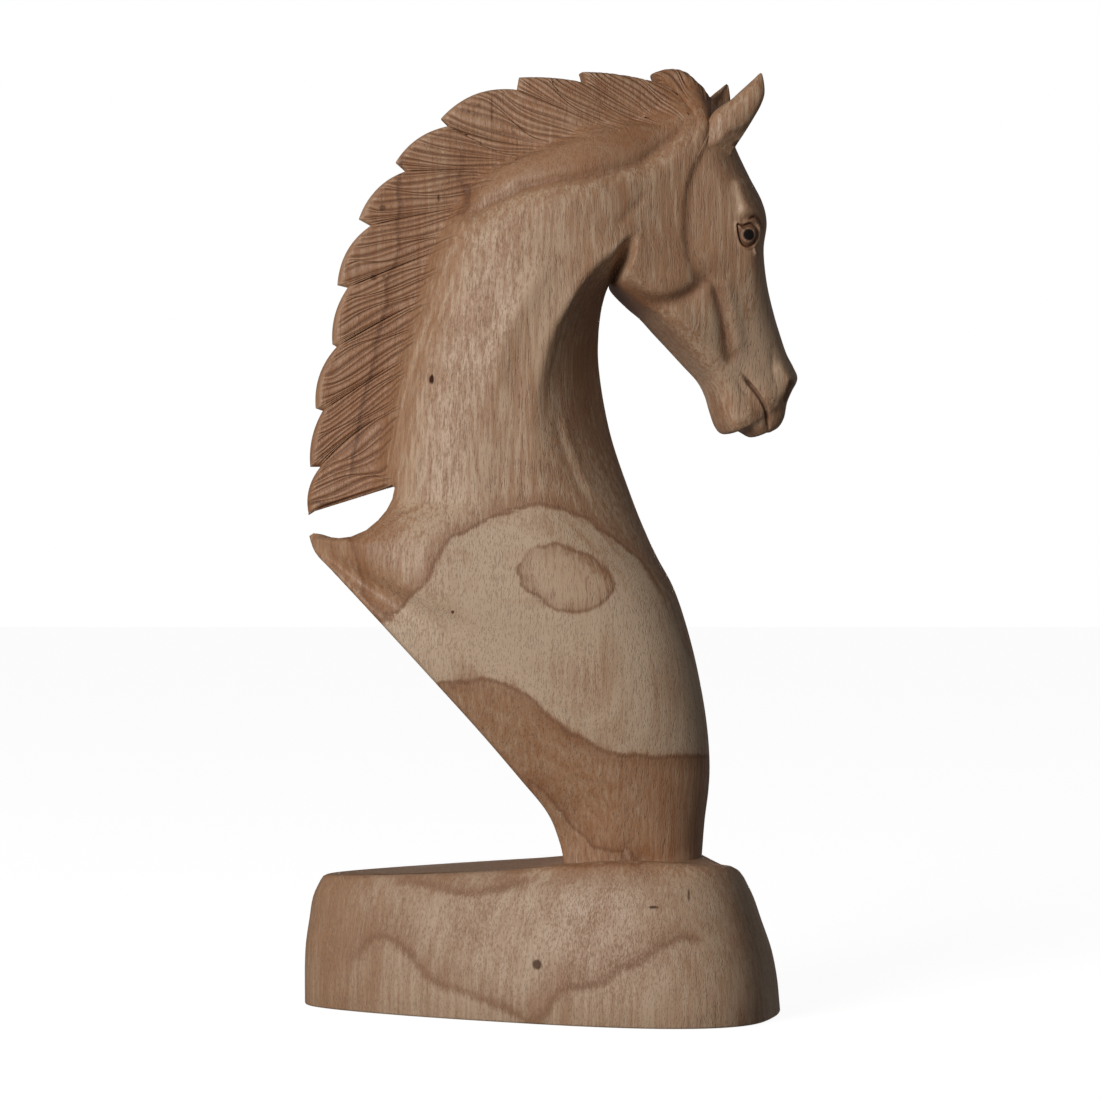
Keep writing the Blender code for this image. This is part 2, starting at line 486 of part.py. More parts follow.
def carved_mesh(name):
    """The skin as a closed mesh: a grid shaped by the sections, mirrored in the side plane."""
    at = stations()
    around = np.linspace(0, 1, POINTS_ROUND_HALF + 1)
    places = skin(at, around).reshape(-1, 3)
    grid = bmesh.new()
    bmesh.ops.create_grid(grid, x_segments=len(around) - 1, y_segments=len(at) - 1, size=1)
    grid.verts.ensure_lookup_table()
    order = sorted(range(len(grid.verts)), key=lambda i: (round(grid.verts[i].co.y, 6), grid.verts[i].co.x))
    station = grid.verts.layers.float.new("station")
    for row, index in enumerate(order):
        grid.verts[index].co = places[row] / 1000.0
        grid.verts[index][station] = at[row // len(around)]
    edge_verts = [vert for vert in grid.verts if vert.is_boundary]
    for vert in edge_verts:
        vert.co.y = 0.0
    everything = list(grid.verts) + list(grid.edges) + list(grid.faces)
    bmesh.ops.mirror(grid, geom=everything, axis="Y", merge_dist=1e-7)
    bmesh.ops.remove_doubles(grid, verts=list(grid.verts), dist=2e-6)
    bmesh.ops.dissolve_degenerate(grid, edges=list(grid.edges), dist=2e-6)
    bmesh.ops.recalc_face_normals(grid, faces=list(grid.faces))
    station = grid.verts.layers.float["station"]
    coords = np.array([vert.co[:] for vert in grid.verts]) * 1000.0
    coords = turn_base(coords, np.array([vert[station] for vert in grid.verts]))
    for vert, place in zip(grid.verts, turn_head(coords)):
        vert.co = place / 1000.0
    grid.verts.layers.float.remove(station)
    mesh = bpy.data.meshes.new(name)
    grid.to_mesh(mesh)
    grid.free()
    return mesh


def ear_mesh(name, tip_place, side):
    """A pointed ear: a hollow crescent section that twists from its root to its tip."""
    scale = place_bust(0, 0)[2]
    mirror = np.array((1, side, 1))
    root, tip = np.array(EAR_ROOT) * mirror, np.array(tip_place) * mirror
    axis = (tip - root) / np.linalg.norm(tip - root)
    length = EAR_LENGTH * 1000 / scale + EAR_SUNK
    start = tip - axis * length
    shares = np.linspace(0, 1, EAR_RINGS)
    widths = station_value(EAR_SHAPE, shares) * EAR_WIDTH * 500 / scale
    wall = EAR_WALL * 1000 / scale
    places = []
    for share, width in zip(shares, widths):
        opening = np.array(EAR_OPENS_LOW) * (1 - share) + np.array(EAR_OPENS_HIGH) * share
        opening = opening * mirror
        opening = opening - axis * opening.dot(axis)
        opening /= np.linalg.norm(opening)
        across = np.cross(axis, opening) * side
        depth = width * EAR_DEPTH
        rim = min(wall, width * 0.4)
        hollow = max(depth - wall, depth * 0.3) * float(smooth_step(np.array((share - 0.12) / 0.2)))
        centre = start + axis * length * share - opening * EAR_BEND * math.sin(math.pi * share)
        for step in range(EAR_POINTS):
            angle = math.pi * step / EAR_POINTS
            places.append(centre + across * width * math.cos(angle) - opening * depth * math.sin(angle))
        for step in range(EAR_POINTS):
            out = -math.cos(math.pi * step / EAR_POINTS)
            inner = 1 - min(1.0, abs(out) * width / (width - rim)) ** 2.2
            places.append(centre + across * width * out - opening * hollow * inner)
    ear = bmesh.new()
    ring_size = 2 * EAR_POINTS
    bmesh.ops.create_cone(ear, cap_ends=True, segments=ring_size, radius1=1, radius2=1, depth=1)
    side_edges = [edge for edge in ear.edges if abs(edge.verts[0].co.z - edge.verts[1].co.z) > 0.5]
    bmesh.ops.subdivide_edges(ear, edges=side_edges, cuts=EAR_RINGS - 2)
    for vert in ear.verts:
        ring = round((vert.co.z + 0.5) * (EAR_RINGS - 1))
        spoke = round(math.atan2(vert.co.y, vert.co.x) / (2 * math.pi) * ring_size) % ring_size
        place = places[ring * ring_size + spoke]
        x, z, _ = place_bust(place[0], place[2])
        vert.co = (x, place[1] * scale, z)
    coords = np.array([vert.co[:] for vert in ear.verts])
    for vert, place in zip(ear.verts, turn_head(coords)):
        vert.co = place / 1000.0
    bmesh.ops.recalc_face_normals(ear, faces=list(ear.faces))
    mesh = bpy.data.meshes.new(name)
    ear.to_mesh(mesh)
    ear.free()
    return mesh


def hollow_mesh(name):
    """Cutter for the hollow under the last lock, a prism right through."""
    cutter = bmesh.new()
    verts = []
    for x, z in HOLLOW:
        px, pz, _ = place_bust(x, z)
        verts.append(cutter.verts.new((px / 1000, -0.08, pz / 1000)))
    face = cutter.faces.new(verts)
    pushed = bmesh.ops.extrude_face_region(cutter, geom=[face])
    moved = [item for item in pushed["geom"] if isinstance(item, bmesh.types.BMVert)]
    bmesh.ops.translate(cutter, verts=moved, vec=(0, 0.16, 0))
    bmesh.ops.recalc_face_normals(cutter, faces=list(cutter.faces))
    mesh = bpy.data.meshes.new(name)
    cutter.to_mesh(mesh)
    cutter.free()
    return mesh


def wood_material():
    material = bpy.data.materials.new("satin_wood")
    material.use_nodes = True
    shader = material.node_tree.nodes["Principled BSDF"]
    shader.inputs["Base Color"].default_value = WOOD_COLOUR
    shader.inputs["Roughness"].default_value = WOOD_ROUGHNESS
    shader.inputs["Metallic"].default_value = 0.0
    return material


def add_object(name, mesh, collection):
    item = bpy.data.objects.new(name, mesh)
    collection.objects.link(item)
    return item


def keep_fine_places(item):
    """Weights that let the facets grow everywhere but round the eye, the nostril and the mouth."""
    group = item.vertex_groups.new(name="coarse")
    coords = np.array([vert.co[:] for vert in item.data.vertices]) * 1000.0
    weight = np.ones(len(coords))
    for (x, z), reach in FINE_PLACES:
        px, pz, scale = place_bust(x, z)
        for side in (-1, 1):
            spot = turn_head(np.array([[px, side * FINE_HALF, pz]]))[0]
            near = np.linalg.norm(coords - spot, axis=1) < 1.6 * reach * scale
            weight[near & (np.abs(coords[:, 2] - pz) < reach * scale)] = FINE_SHARE
    for value in (1.0, FINE_SHARE):
        group.add([int(index) for index in np.flatnonzero(weight == value)], value, "REPLACE")


def boolean(target, cutter, operation):
    modifier = target.modifiers.new(cutter.name, "BOOLEAN")
    modifier.operation = operation
    modifier.object = cutter
    cutter.hide_render = True
    cutter.display_type = "WIRE"


def main():
    for item in list(bpy.data.objects):
        bpy.data.objects.remove(item, do_unlink=True)
    parts = bpy.data.collections.new("wooden_horse_head")
    cutters = bpy.data.collections.new("cutters")
    bpy.context.scene.collection.children.link(parts)
    bpy.context.scene.collection.children.link(cutters)

    carving = add_object("horse_head", carved_mesh("horse_head"), parts)
    carving.data.materials.append(wood_material())
    carving.data.shade_smooth()
    for name, tip, side in (("ear_near", EAR_TIP_NEAR, 1), ("ear_far", EAR_TIP_FAR, -1)):
        boolean(carving, add_object(name, ear_mesh(name, tip, side), cutters), "UNION")
    boolean(carving, add_object("hollow", hollow_mesh("hollow"), cutters), "DIFFERENCE")
    keep_fine_places(carving)
    thin = carving.modifiers.new("facets", "DECIMATE")
    thin.ratio = TRIANGLES / (2 * 2 * len(stations()) * POINTS_ROUND_HALF)
    thin.vertex_group = "coarse"


main()
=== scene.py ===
"""Horse head and neck on a slice of log, carved from one block of satin wood.

The carving keeps the form of its solid, a skin of sections from under the base to the lips, and adds the
cuts that a small gouge leaves: the hairs of the mane, eyelids, nostrils and mouth. Its wood has vessels
along the height, growth rings that the carving cuts into ovals, knots and burnt pupils.

Lengths are in millimetres of the drawn carving, and MM turns them into metres of the frame.
"""

import math

import bmesh
import bpy
import numpy as np
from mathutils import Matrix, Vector


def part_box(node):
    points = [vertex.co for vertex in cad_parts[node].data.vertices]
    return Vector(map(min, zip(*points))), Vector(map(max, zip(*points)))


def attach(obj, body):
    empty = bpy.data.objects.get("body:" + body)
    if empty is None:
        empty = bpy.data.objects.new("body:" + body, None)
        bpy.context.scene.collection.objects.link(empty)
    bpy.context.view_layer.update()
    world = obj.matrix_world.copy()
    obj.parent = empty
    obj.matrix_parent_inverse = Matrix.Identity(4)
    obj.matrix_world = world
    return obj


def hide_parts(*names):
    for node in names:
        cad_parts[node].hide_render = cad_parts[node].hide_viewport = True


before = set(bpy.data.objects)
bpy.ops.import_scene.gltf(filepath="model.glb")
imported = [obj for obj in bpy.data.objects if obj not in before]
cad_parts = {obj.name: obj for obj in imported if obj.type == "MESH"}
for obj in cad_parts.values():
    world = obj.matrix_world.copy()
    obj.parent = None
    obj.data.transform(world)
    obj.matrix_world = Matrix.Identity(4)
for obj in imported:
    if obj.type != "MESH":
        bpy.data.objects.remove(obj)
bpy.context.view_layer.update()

box_low, box_high = (Vector(corner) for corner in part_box("horse_head"))
BOX_HEIGHT = 401.3
MM = (box_high.z - box_low.z) / BOX_HEIGHT

# Base, in millimetres
BASE_LENGTH = 205.8
BASE_TOP_LENGTH = 184.0
BASE_WIDTH = 81.0
BASE_TOP_WIDTH = 59.0
BASE_TAPER = 0.38
BASE_FAR_SPREAD = 0.55
BASE_HEIGHT_BACK = 56.0
BASE_HEIGHT_FRONT = 67.0
BASE_FRONT_DIP = 3.0
BASE_MIDDLE_CLIMB = 0.51
BASE_FAR_FALL = 5.5
BASE_SQUARENESS = 2.5
BASE_RIM = 2.5
BASE_TOE = 1.0
# A rounded edge halfway round, and the swell below the rim, as shares of the rounding
ROUND_SHARE = 0.3
RIM_SWELL = 0.2
BASE_SHIFT = -6.8
BASE_TOP_SHIFT = -10.5
BASE_TURN = math.radians(-17.0)
# The front corner falls away to the far side: ramps along x and y, each as start and run
FALL_ALONG = (45.0, 20.0)
FALL_ACROSS = (-32.0, 30.0)

# Side of the base, from its foot to its rim: shares of the height, of the narrowing and of the lean back
BASE_SIDE = [(0.0, 0.0, 0.0), (0.26, 0.07, 0.2), (0.47, 0.2, 0.45), (0.68, 0.45, 0.75), (0.9, 0.75, 1.0),
             (1.0, 1.0, 1.0)]

# Where the drawn bust stands on the base
BUST_SHIFT = 0.3

# Stations of the base: middle and edge of its underside, foot and top of its side, inner edge of its rim
UNDER_MIDDLE = -16.0
UNDER_EDGE = -15.0
TOE_HALFWAY = -14.9
SIDE_FOOT = -14.8
SIDE_TOP = -13.2
RIM_HALFWAY = -13.1
RIM = -13.0

# Shares of the base's length at its back end, its middle, its highest place and its front end
BASE_TOP_SHARES = [0.0, 0.45, 0.88, 1.0]

# Back outline, mane root line and front outline of the body, from the foot to the withers
BODY_BACK = [(5.6, 62.7), (3.2, 73.5), (-2.0, 86.0), (-13.4, 100.3), (-30.2, 120.2), (-50.8, 143.2),
             (-72.6, 166.8), (-91.6, 186.6), (-99.0, 194.0), (-102.0, 200.0), (-103.2, 206.0)]
BODY_FRONT = [(63.8, 66.3), (65.0, 81.2), (66.6, 93.9), (67.1, 104.5), (66.4, 117.3), (64.4, 132.2),
              (60.6, 151.0), (55.8, 168.5), (51.2, 181.0), (45.0, 192.5), (40.4, 202.3)]
BODY_ROOT = [(30.3, 63.5), (29.5, 76.3), (27.1, 88.5), (20.6, 101.3), (10.0, 118.3), (-5.0, 138.0),
             (-28.0, 159.0), (-45.0, 174.0), (-54.0, 184.0), (-60.0, 195.0), (-64.0, 209.0)]

# Locks of the mane from the withers to the forelock: tip, notch above it, middle and root of its lower edge
LOCK_TIP = [(-103.3, 211.7), (-102.6, 231.2), (-100.3, 256.1), (-93.2, 283.3), (-91.1, 308.4),
            (-81.9, 336.4), (-66.2, 360.4), (-47.0, 378.9), (-14.0, 396.1), (12.3, 398.6), (44.0, 399.1),
            (68.4, 389.1)]
LOCK_NOTCH = [(-98.2, 231.2), (-97.3, 255.0), (-91.4, 282.2), (-86.7, 307.3), (-76.9, 333.6),
              (-62.0, 356.6), (-43.8, 375.7), (-14.9, 391.0), (13.6, 394.0), (45.5, 394.5), (68.4, 389.1)]
LOCK_MIDDLE = [(-79.0, 219.3), (-82.5, 246.1), (-77.8, 267.8), (-71.0, 293.7), (-64.2, 316.6),
               (-56.5, 337.9), (-40.8, 357.0), (-19.6, 368.1), (3.8, 382.1), (29.3, 383.8), (52.0, 389.0),
               (65.0, 382.0)]
LOCK_ROOT = [(-66.7, 222.7), (-62.0, 258.0), (-57.4, 280.9), (-48.9, 305.0), (-42.1, 325.0), (-32.0, 342.0),
             (-17.4, 357.0), (3.8, 366.3), (23.8, 373.1), (44.0, 375.3), (57.5, 377.5), (62.0, 372.0)]
LOCK_FRONT = [(34.8, 216.0), (26.4, 240.0), (22.2, 258.0), (19.9, 275.0), (19.9, 287.0), (20.9, 296.5),
              (22.3, 302.8), (23.6, 306.6), (24.6, 308.6), (25.0, 308.8), (25.4, 308.4), (25.8, 307.6)]
LOCK_BULGE = [0.12, 0.08, 0.11, 0.09, 0.12, 0.12, 0.11, 0.13, 0.03, 0.04, 0.0]
FORELOCK_TOP = [(44.0, 399.4), (48.5, 400.8), (53.5, 401.0), (57.8, 399.6), (61.5, 396.4), (65.0, 393.4),
                (68.0, 389.0)]
NOTCH_SHARE = 0.045

# Profile of the face and of the jaw, from the forehead to the lips
FACE = [(73.6, 380.0), (79.2, 366.4), (84.6, 355.2), (90.0, 345.0), (92.2, 336.0), (91.6, 325.0),
        (93.6, 311.2), (97.0, 298.3), (100.6, 287.4), (103.2, 280.1), (105.8, 275.0), (107.8, 270.0),
        (105.4, 264.6), (103.3, 259.4), (102.0, 253.2), (99.6, 248.8), (96.0, 246.4)]
JAW = [(26.3, 306.8), (27.6, 305.3), (30.6, 302.6), (35.3, 298.8), (41.2, 294.6), (47.1, 288.8),
       (53.8, 282.0), (60.5, 274.6), (66.1, 268.2), (69.2, 262.0), (71.2, 255.2), (73.6, 248.6),
       (76.6, 245.6), (82.2, 247.0), (88.0, 244.3), (92.0, 246.0), (93.4, 246.2)]
HEAD_ROOT_SHARE = 0.40

# Section stations along the skin
FOOT = -11.0
FIRST_LOCK = 0.0
FORELOCK = 11.0
LIPS = 28.0

# Half thicknesses and reaches, as pairs of a station and a value
FLESH_HALF = [(-11, 27), (-10, 29.5), (-9, 31.5), (-8, 34), (-7, 37), (-6, 39.5), (-5, 41.5), (-4, 42.5),
              (-3, 42), (-2, 40.5), (-1, 38.5), (0, 36.5), (1, 34.5), (2, 33.5), (3, 33), (5, 31),
              (7, 28.3), (8, 27.0), (9, 26.3), (10, 26), (11, 25.9), (12, 25.8), (13, 25.7), (14, 25.7),
              (15, 25.8), (16, 25.7), (17, 25), (18, 23), (19, 20), (20, 17.5), (21, 16), (22, 15.5),
              (23, 15), (24, 13.5), (25, 11.5), (26, 9.5), (27, 7), (28, 1.5)]
EDGE_HALF = [(-11, 22), (-10, 22), (-9, 25), (-8, 29), (-7, 33), (-6, 36), (-5, 34), (-4, 24), (-3, 17),
             (-2, 12), (-1, 8.5), (0, 5.5), (8, 5.5), (9, 6), (10, 7.5), (11, 10), (12, 13), (14, 15),
             (16, 15), (18, 10), (20, 8), (22, 9), (24, 8), (26, 6), (28, 1)]
EDGE_ROUND = [(-11, 3), (-4, 3), (0, 4), (10, 4), (11, 6), (12, 8), (14, 8), (16, 8), (18, 8),
              (20, 7.5), (22, 7.5), (26, 5), (28, 1)]
ROOT_HALF = [(-11, 25), (-8, 33), (-6, 39), (-5, 38), (-4, 32), (-3, 27), (-2, 22), (-1, 17), (0, 13),
             (8, 13), (9, 15), (10, 18), (11, 20), (12, 20.5), (14, 21), (16, 21), (18, 16), (20, 12),
             (23, 11), (26, 8), (28, 1.5)]
FLESH_BACK_REACH = [(-11, 20), (-8, 40), (-5, 60), (-2, 60), (0, 50), (3, 53), (7, 40), (10, 30), (12, 26),
                    (14, 20), (16, 18), (20, 16), (28, 10)]
FRONT_REACH = [(-11, 22), (-8, 45), (-5, 55), (-3, 55), (-1, 50), (0, 43), (1, 36), (2, 29.5), (3, 23),
               (4, 17), (5, 13.5), (6, 12), (7, 12.5), (8.6, 19), (9.4, 13), (10.2, 10), (11, 9), (13, 9.5),
               (17, 10.5), (20, 9.5), (23, 7), (28, 3)]
FRONT_ROUND = [(-11, 2.2), (-1, 2.0), (0, 1.7), (1, 1.3), (2, 1.12), (3, 1.06), (5, 1.05), (7, 1.1),
               (8.6, 1.15), (9.4, 1.5), (10.2, 2), (28, 2)]
FLESH_START = 10.0
THINNEST = 0.05
BLEND = 6.0
EDGE_FADE = 3.0
FRONT_BULGE = 0.3

# Stations between which the mane is a plate behind the flesh: start and run of each ramp
PLATE_IN = (-2.0, 2.0)
PLATE_OUT = (12.5, -4.0)

# Shingled locks
DIVIDE_STEP = 0.15
DIVIDE_RISE = 0.3
SHINGLE_POWER = 0.8
LOCK_CROWN = 0.6
DIVIDE_FADE = 0.15
DIVIDE_ENDS = 0.95
FORELOCK_END = 0.3
LAST_ROW_OF_LOCK = 0.9995

# Lines of the neck and head that relief and stain follow
NECK_CREASE = [(56.3, 381.5), (47.9, 370.8), (32.2, 358.8), (18.3, 353.8), (0.6, 350.5), (-11.0, 347.7),
               (-23.0, 342.4), (-42.2, 332.3)]
TEMPLE_LINE = [(61.7, 367.2), (55.5, 356.2), (52.9, 348.5), (52.0, 340.5), (51.6, 326.6), (52.4, 319.4),
               (55.5, 311.5), (62.5, 308.1)]
CHEEK_LINE = [(61.0, 309.0), (54.5, 305.3), (50.0, 302.8), (45.3, 301.0), (40.0, 300.6), (35.4, 301.6),
              (31.0, 303.8), (27.5, 306.0), (22.0, 310.0)]
NOSE_LINE = [(64.0, 309.4), (67.1, 298.5), (69.8, 288.3), (72.0, 280.3), (73.7, 272.7)]
BROW_LINE = [(73.0, 353.5), (73.6, 349.0), (74.5, 344.3), (75.3, 339.5), (75.0, 335.6)]
THROAT_EDGE = [(25.5, 324.0), (19.0, 318.0), (12.5, 308.0), (7.0, 296.0), (1.5, 282.0), (-1.5, 268.0),
               (-3.0, 254.0), (-2.0, 240.0)]
THROAT = [(22.0, 316.0), (17.0, 304.0), (14.5, 290.0), (12.5, 272.0), (14.0, 252.0), (20.0, 232.0),
          (29.0, 212.0)]
JAW_LINE = [(34.0, 348.0), (32.3, 343.3), (26.5, 336.0), (22.2, 330.6)]

# A line fades over this share of it at each end, unless it is shorter than so many times its reach
LINE_END = 0.15
SHORT_LINE = 6.0

# Broad relief on the neck and head: points in the side plane, reach, depth (out is positive)
RELIEF = [
    # Edge between the side of the neck and the throat
    (THROAT_EDGE[:6], 1.8, 0.6),
    # Muscle down the side of the neck, and the cord beside the throat
    ([(2.0, 320.0), (-8.0, 306.0), (-17.0, 290.0), (-22.0, 275.0), (-24.0, 258.0)], 5.0, 1.2),
    ([(4.0, 254.0), (7.0, 242.0), (11.5, 230.0), (18.0, 217.0)], 1.4, 0.9),
    ([(1.5, 253.0), (4.5, 240.0), (8.8, 228.0), (15.2, 215.0)], 1.5, -0.7),
    (NECK_CREASE, 4.5, -1.7),
    (NECK_CREASE, 1.4, -1.2),
    # Valley where the last locks grow out of the neck
    ([(-65.5, 224.0), (-63.0, 243.0), (-59.5, 264.0), (-54.0, 286.0), (-47.0, 306.0)], 2.0, -0.9),
    # Rear of the jaw, the crease under the cheek and the swell of the cheek
    (JAW_LINE, 1.8, -0.5),
    (CHEEK_LINE, 2.8, -1.7),
    ([(59.5, 310.0)], 4.0, -1.1),
    ([(30.0, 318.0), (39.0, 320.0), (47.0, 314.0)], 11.0, 2.0),
    (TEMPLE_LINE, 1.8, -0.55),
    # Groove and ridge down the side of the nose
    (NOSE_LINE, 2.8, -1.2),
    ([(67.5, 312.0), (71.5, 301.0), (75.0, 289.0), (77.5, 279.0)], 3.0, 0.8),
    # Front of the brow and eye socket
    ([(78.0, 341.0), (82.0, 339.6), (86.5, 338.6)], 2.2, 0.8),
    ([(80.1, 329.4)], 7.5, -0.9),
    # Wing of the nostril
    ([(97.0, 273.0), (100.0, 269.5)], 2.8, 1.4),
    # Lower lip and upper lip
    ([(82.5, 253.5), (88.0, 249.0)], 3.0, 1.0),
    ([(84.0, 271.0), (92.0, 262.0)], 4.5, 1.0),
]

# Steps onto the left-hand side of a line: points, width, reach, depth and faded share at each end
STEPS = [
    (TEMPLE_LINE[:-1], 2.8, 11.0, -1.2, 0.25, 0.25),
    (CHEEK_LINE, 3.5, 9.0, -2.0, 0.25, 0.15),
    (THROAT_EDGE, 1.8, 60.0, -1.5, 0.1, 0.5),
    (BROW_LINE, 2.2, 11.0, 1.9, 0.2, 0.2),
]

# Places rubbed smooth, and tinted cream there as a painted highlight: points, half width, strength
POLISH_AND_HIGHLIGHT = [
    (BROW_LINE, 1.5, 1.0),
    ([(81.4, 323.8), (82.0, 322.2), (82.5, 320.6)], 0.7, 1.3),
]

# Painted shade along the creases of the neck and face, and in the throat painted shade with darker wood:
# points, half width, strength
STAINS_AND_SHADE = [
    (NECK_CREASE, 1.5, 0.75),
    (TEMPLE_LINE, 2.0, 0.65),
    (CHEEK_LINE, 3.0, 1.0),
    (NOSE_LINE, 3.8, 1.2),
    ([(59.5, 310.0)], 4.5, 0.6),
    ([(36.0, 299.0), (29.0, 303.0)], 3.5, 1.0),
    (THROAT, 8.0, 0.85),
    (JAW_LINE, 1.2, 0.3),
    ([(74.2, 333.0), (74.8, 329.1), (76.2, 325.4), (78.6, 323.9), (81.2, 324.8)], 0.9, 1.0),
    ([(79.2, 335.4), (82.4, 337.0), (86.2, 334.2)], 0.8, 1.1),
]

# Fine cuts: points in the side plane, half width, depth, for a round-bottomed groove or ridge
CUTS = [
    # Mouth and the crease behind its corner
    ([(78.6, 271.3), (80.2, 268.8), (83.4, 265.2), (86.7, 261.4), (90.2, 255.7), (91.4, 252.0),
      (92.4, 247.6)], 0.8, -1.5),
    ([(76.6, 268.8), (78.2, 265.0), (82.0, 260.5)], 0.9, -0.35),
    # Crease behind the wing of the nostril
    ([(92.6, 281.0), (92.6, 272.1), (93.7, 265.5)], 0.9, -0.35),
    # Crease over the eye, the upper lid below it and the ridge below the front corner
    ([(79.0, 335.2), (80.6, 336.4), (82.4, 337.0), (84.8, 336.2), (86.4, 334.0), (86.8, 331.0)], 0.55, -0.8),
    ([(76.0, 334.2), (79.5, 335.0), (82.4, 334.9), (84.6, 333.2), (85.2, 330.6)], 0.8, 0.45),
    ([(81.4, 323.8), (82.0, 322.2), (82.5, 320.6)], 0.7, 0.6),
    # Edge of the cheekbone
    ([(56.0, 311.0), (62.5, 309.0), (66.6, 300.0), (69.8, 288.3), (72.0, 280.3)], 0.9, -0.5),
]
NOSTRIL = [(102.4, 267.0), (101.2, 263.6), (100.2, 260.6)]
NOSTRIL_HALF = 1.3
NOSTRIL_DEPTH = -3.2
EYE = [(74.3, 333.2), (74.5, 331.1), (74.9, 329.1), (75.6, 326.6), (76.8, 325.0), (78.6, 324.3),
       (80.8, 325.0), (82.4, 326.8), (83.5, 329.1), (83.4, 331.4), (82.4, 333.0), (80.3, 333.9),
       (78.4, 333.4), (76.8, 332.8), (75.4, 333.1)]
PUPIL = (78.8, 329.1)
PUPIL_HALF = 2.3
EYE_POINTS = 60
EYE_GROOVE = -0.9
EYE_GROOVE_INSIDE = 1.6
EYE_GROOVE_OUTSIDE = 0.5
EYEBALL_RISE = 1.9
EYEBALL_REACH = 3.4
LID_RISE = 0.5
LID_PLACE = 1.0
LID_HALF = 0.6
CUT_RUN_OUT = 0.2
CUT_END_SHARE = 0.25

# Hairs of the mane, each between two gouge cuts, with rows across one hair from one cut to the next.
# What starts, ends or stops is a ramp, as start and run: shares of the way from a lock's edge to its root.
TIP_HAIRS = 3
HAIRS_IN_LOCK = 10
HAIR_ROWS = [0.0, 0.15, 0.34, 0.58, 0.82]
HAIR_UNEVEN = 0.2
HAIR_WANDER = 1.3
WANDER_STARTS = (0.0, 0.2)
WANDER_STOPS = (0.9, 0.5)
WANDER_ENDS = 0.15
# Waves of the hairs: height, and how fast each turns with the reach, the lock and the share of the lock
HAIR_WAVES = [(0.45, 4.0, 1.7, 4.0), (0.30, 9.0, 2.9, 9.0), (0.25, 6.0, 1.0, 17.0)]
# Cuts between the hairs
HAIR_DEPTH = 1.05
HAIR_DEPTH_SHARE = 0.78
HAIR_DEPTH_SWING = 0.3
HAIR_START = (0.06, 0.09)
HAIR_END = 0.95
HAIR_END_SWING = 0.12
HAIR_END_AT_TIP = 0.62
HAIR_FADING = 0.35
HAIR_END_EARLY = 0.85
HAIR_SHARPNESS = 3
FIRST_HAIRS = 0.03
HAIRS_REACH = 1.4
# The lowest locks' cuts end more evenly and sharply, and the forelock's sooner, from these stations on
LOW_LOCKS = (4.0, -2.5)
LOW_SWING_LESS = 0.08
LOW_FADING_LESS = 0.2
FORELOCK_HAIRS = (9.2, 1.2)
FORELOCK_HAIRS_SHORTER = 0.42
# Grooves that part the locks
DIVIDE_GROOVE = 0.05
DIVIDE_GROOVE_ABOVE = 0.14
DIVIDE_GROOVE_BELOW = 0.025
DIVIDE_GROOVE_STARTS = (0.04, 0.06)
DIVIDE_GROOVE_STOPS = (0.25, 0.6)

# Hollow under the last lock: its outline, cut right through
HOLLOW = [(-125.0, 205.5), (-104.2, 210.2), (-101.0, 212.4), (-90.0, 215.9), (-79.0, 219.4), (-67.0, 223.4),
          (-65.9, 222.0), (-66.9, 217.2), (-69.2, 212.6), (-72.6, 208.4), (-77.6, 204.2), (-84.0, 201.5),
          (-89.9, 200.8), (-94.6, 201.4), (-98.2, 202.6), (-100.6, 203.0), (-102.8, 201.6), (-125.0, 202.0)]
HOLLOW_EDGE = 2.6
HOLLOW_EDGE_STARTS = (1.0, 6.0)
HOLLOW_HALF = 80.0

# Turn of the head: it grows with this measure from the neck to the poll
HEAD_TURN = math.radians(14.0)
TURN_X = 15.0
TURN_START = (5.0, 300.0)
TURN_RUN = (50.0, 150.0)

# Ears: root, tips and the way each opens at its root and its tip, on the near side
EAR_LENGTH = 38.5
EAR_WIDTH = 15.0
EAR_WALL = 1.9
EAR_ROOT = (65.8, -19.3, 363.6)
EAR_TIP_NEAR = (84.4, -26.0, 397.4)
EAR_TIP_FAR = (86.0, -29.0, 399.3)
EAR_OPENS_LOW = (-0.12, 0.95, -0.28)
EAR_OPENS_HIGH = (0.28, 0.94, -0.15)
# Half width, lean to the front in millimetres and flat share of the back, at shares of the ear's length
EAR_SHAPE = [(0.0, 0.86), (0.09, 0.92), (0.27, 1.0), (0.4, 1.06), (0.55, 0.92), (0.62, 0.82), (0.73, 0.71),
             (0.85, 0.52), (0.93, 0.30), (0.98, 0.14), (1.0, 0.06)]
EAR_LEAN = [(0.0, -0.6), (0.09, -0.9), (0.27, -1.4), (0.4, -1.5), (0.55, -0.2), (0.62, 0.6), (0.73, 1.3),
            (0.85, 1.5), (0.93, 0.9), (1.0, 0.0)]
EAR_FLAT = [(0.0, 0.85), (0.1, 0.78), (0.2, 0.56), (0.36, 0.40), (0.5, 0.04), (0.56, 0.0), (1.0, 0.0)]
EAR_DEPTH = 0.72
EAR_FAR_WIDER = 1.18
EAR_BEND = 1.2
EAR_SUNK = 4.0
EAR_FACET_RANGE = (0.002, 0.85)
EAR_RIM_SHARE = 0.4
EAR_HOLLOW_SHARE = 0.3
EAR_HOLLOW_START = (0.06, 0.14)
EAR_HOLLOW_POWER = 2.2
EAR_RINGS = 44
EAR_POINTS = 20

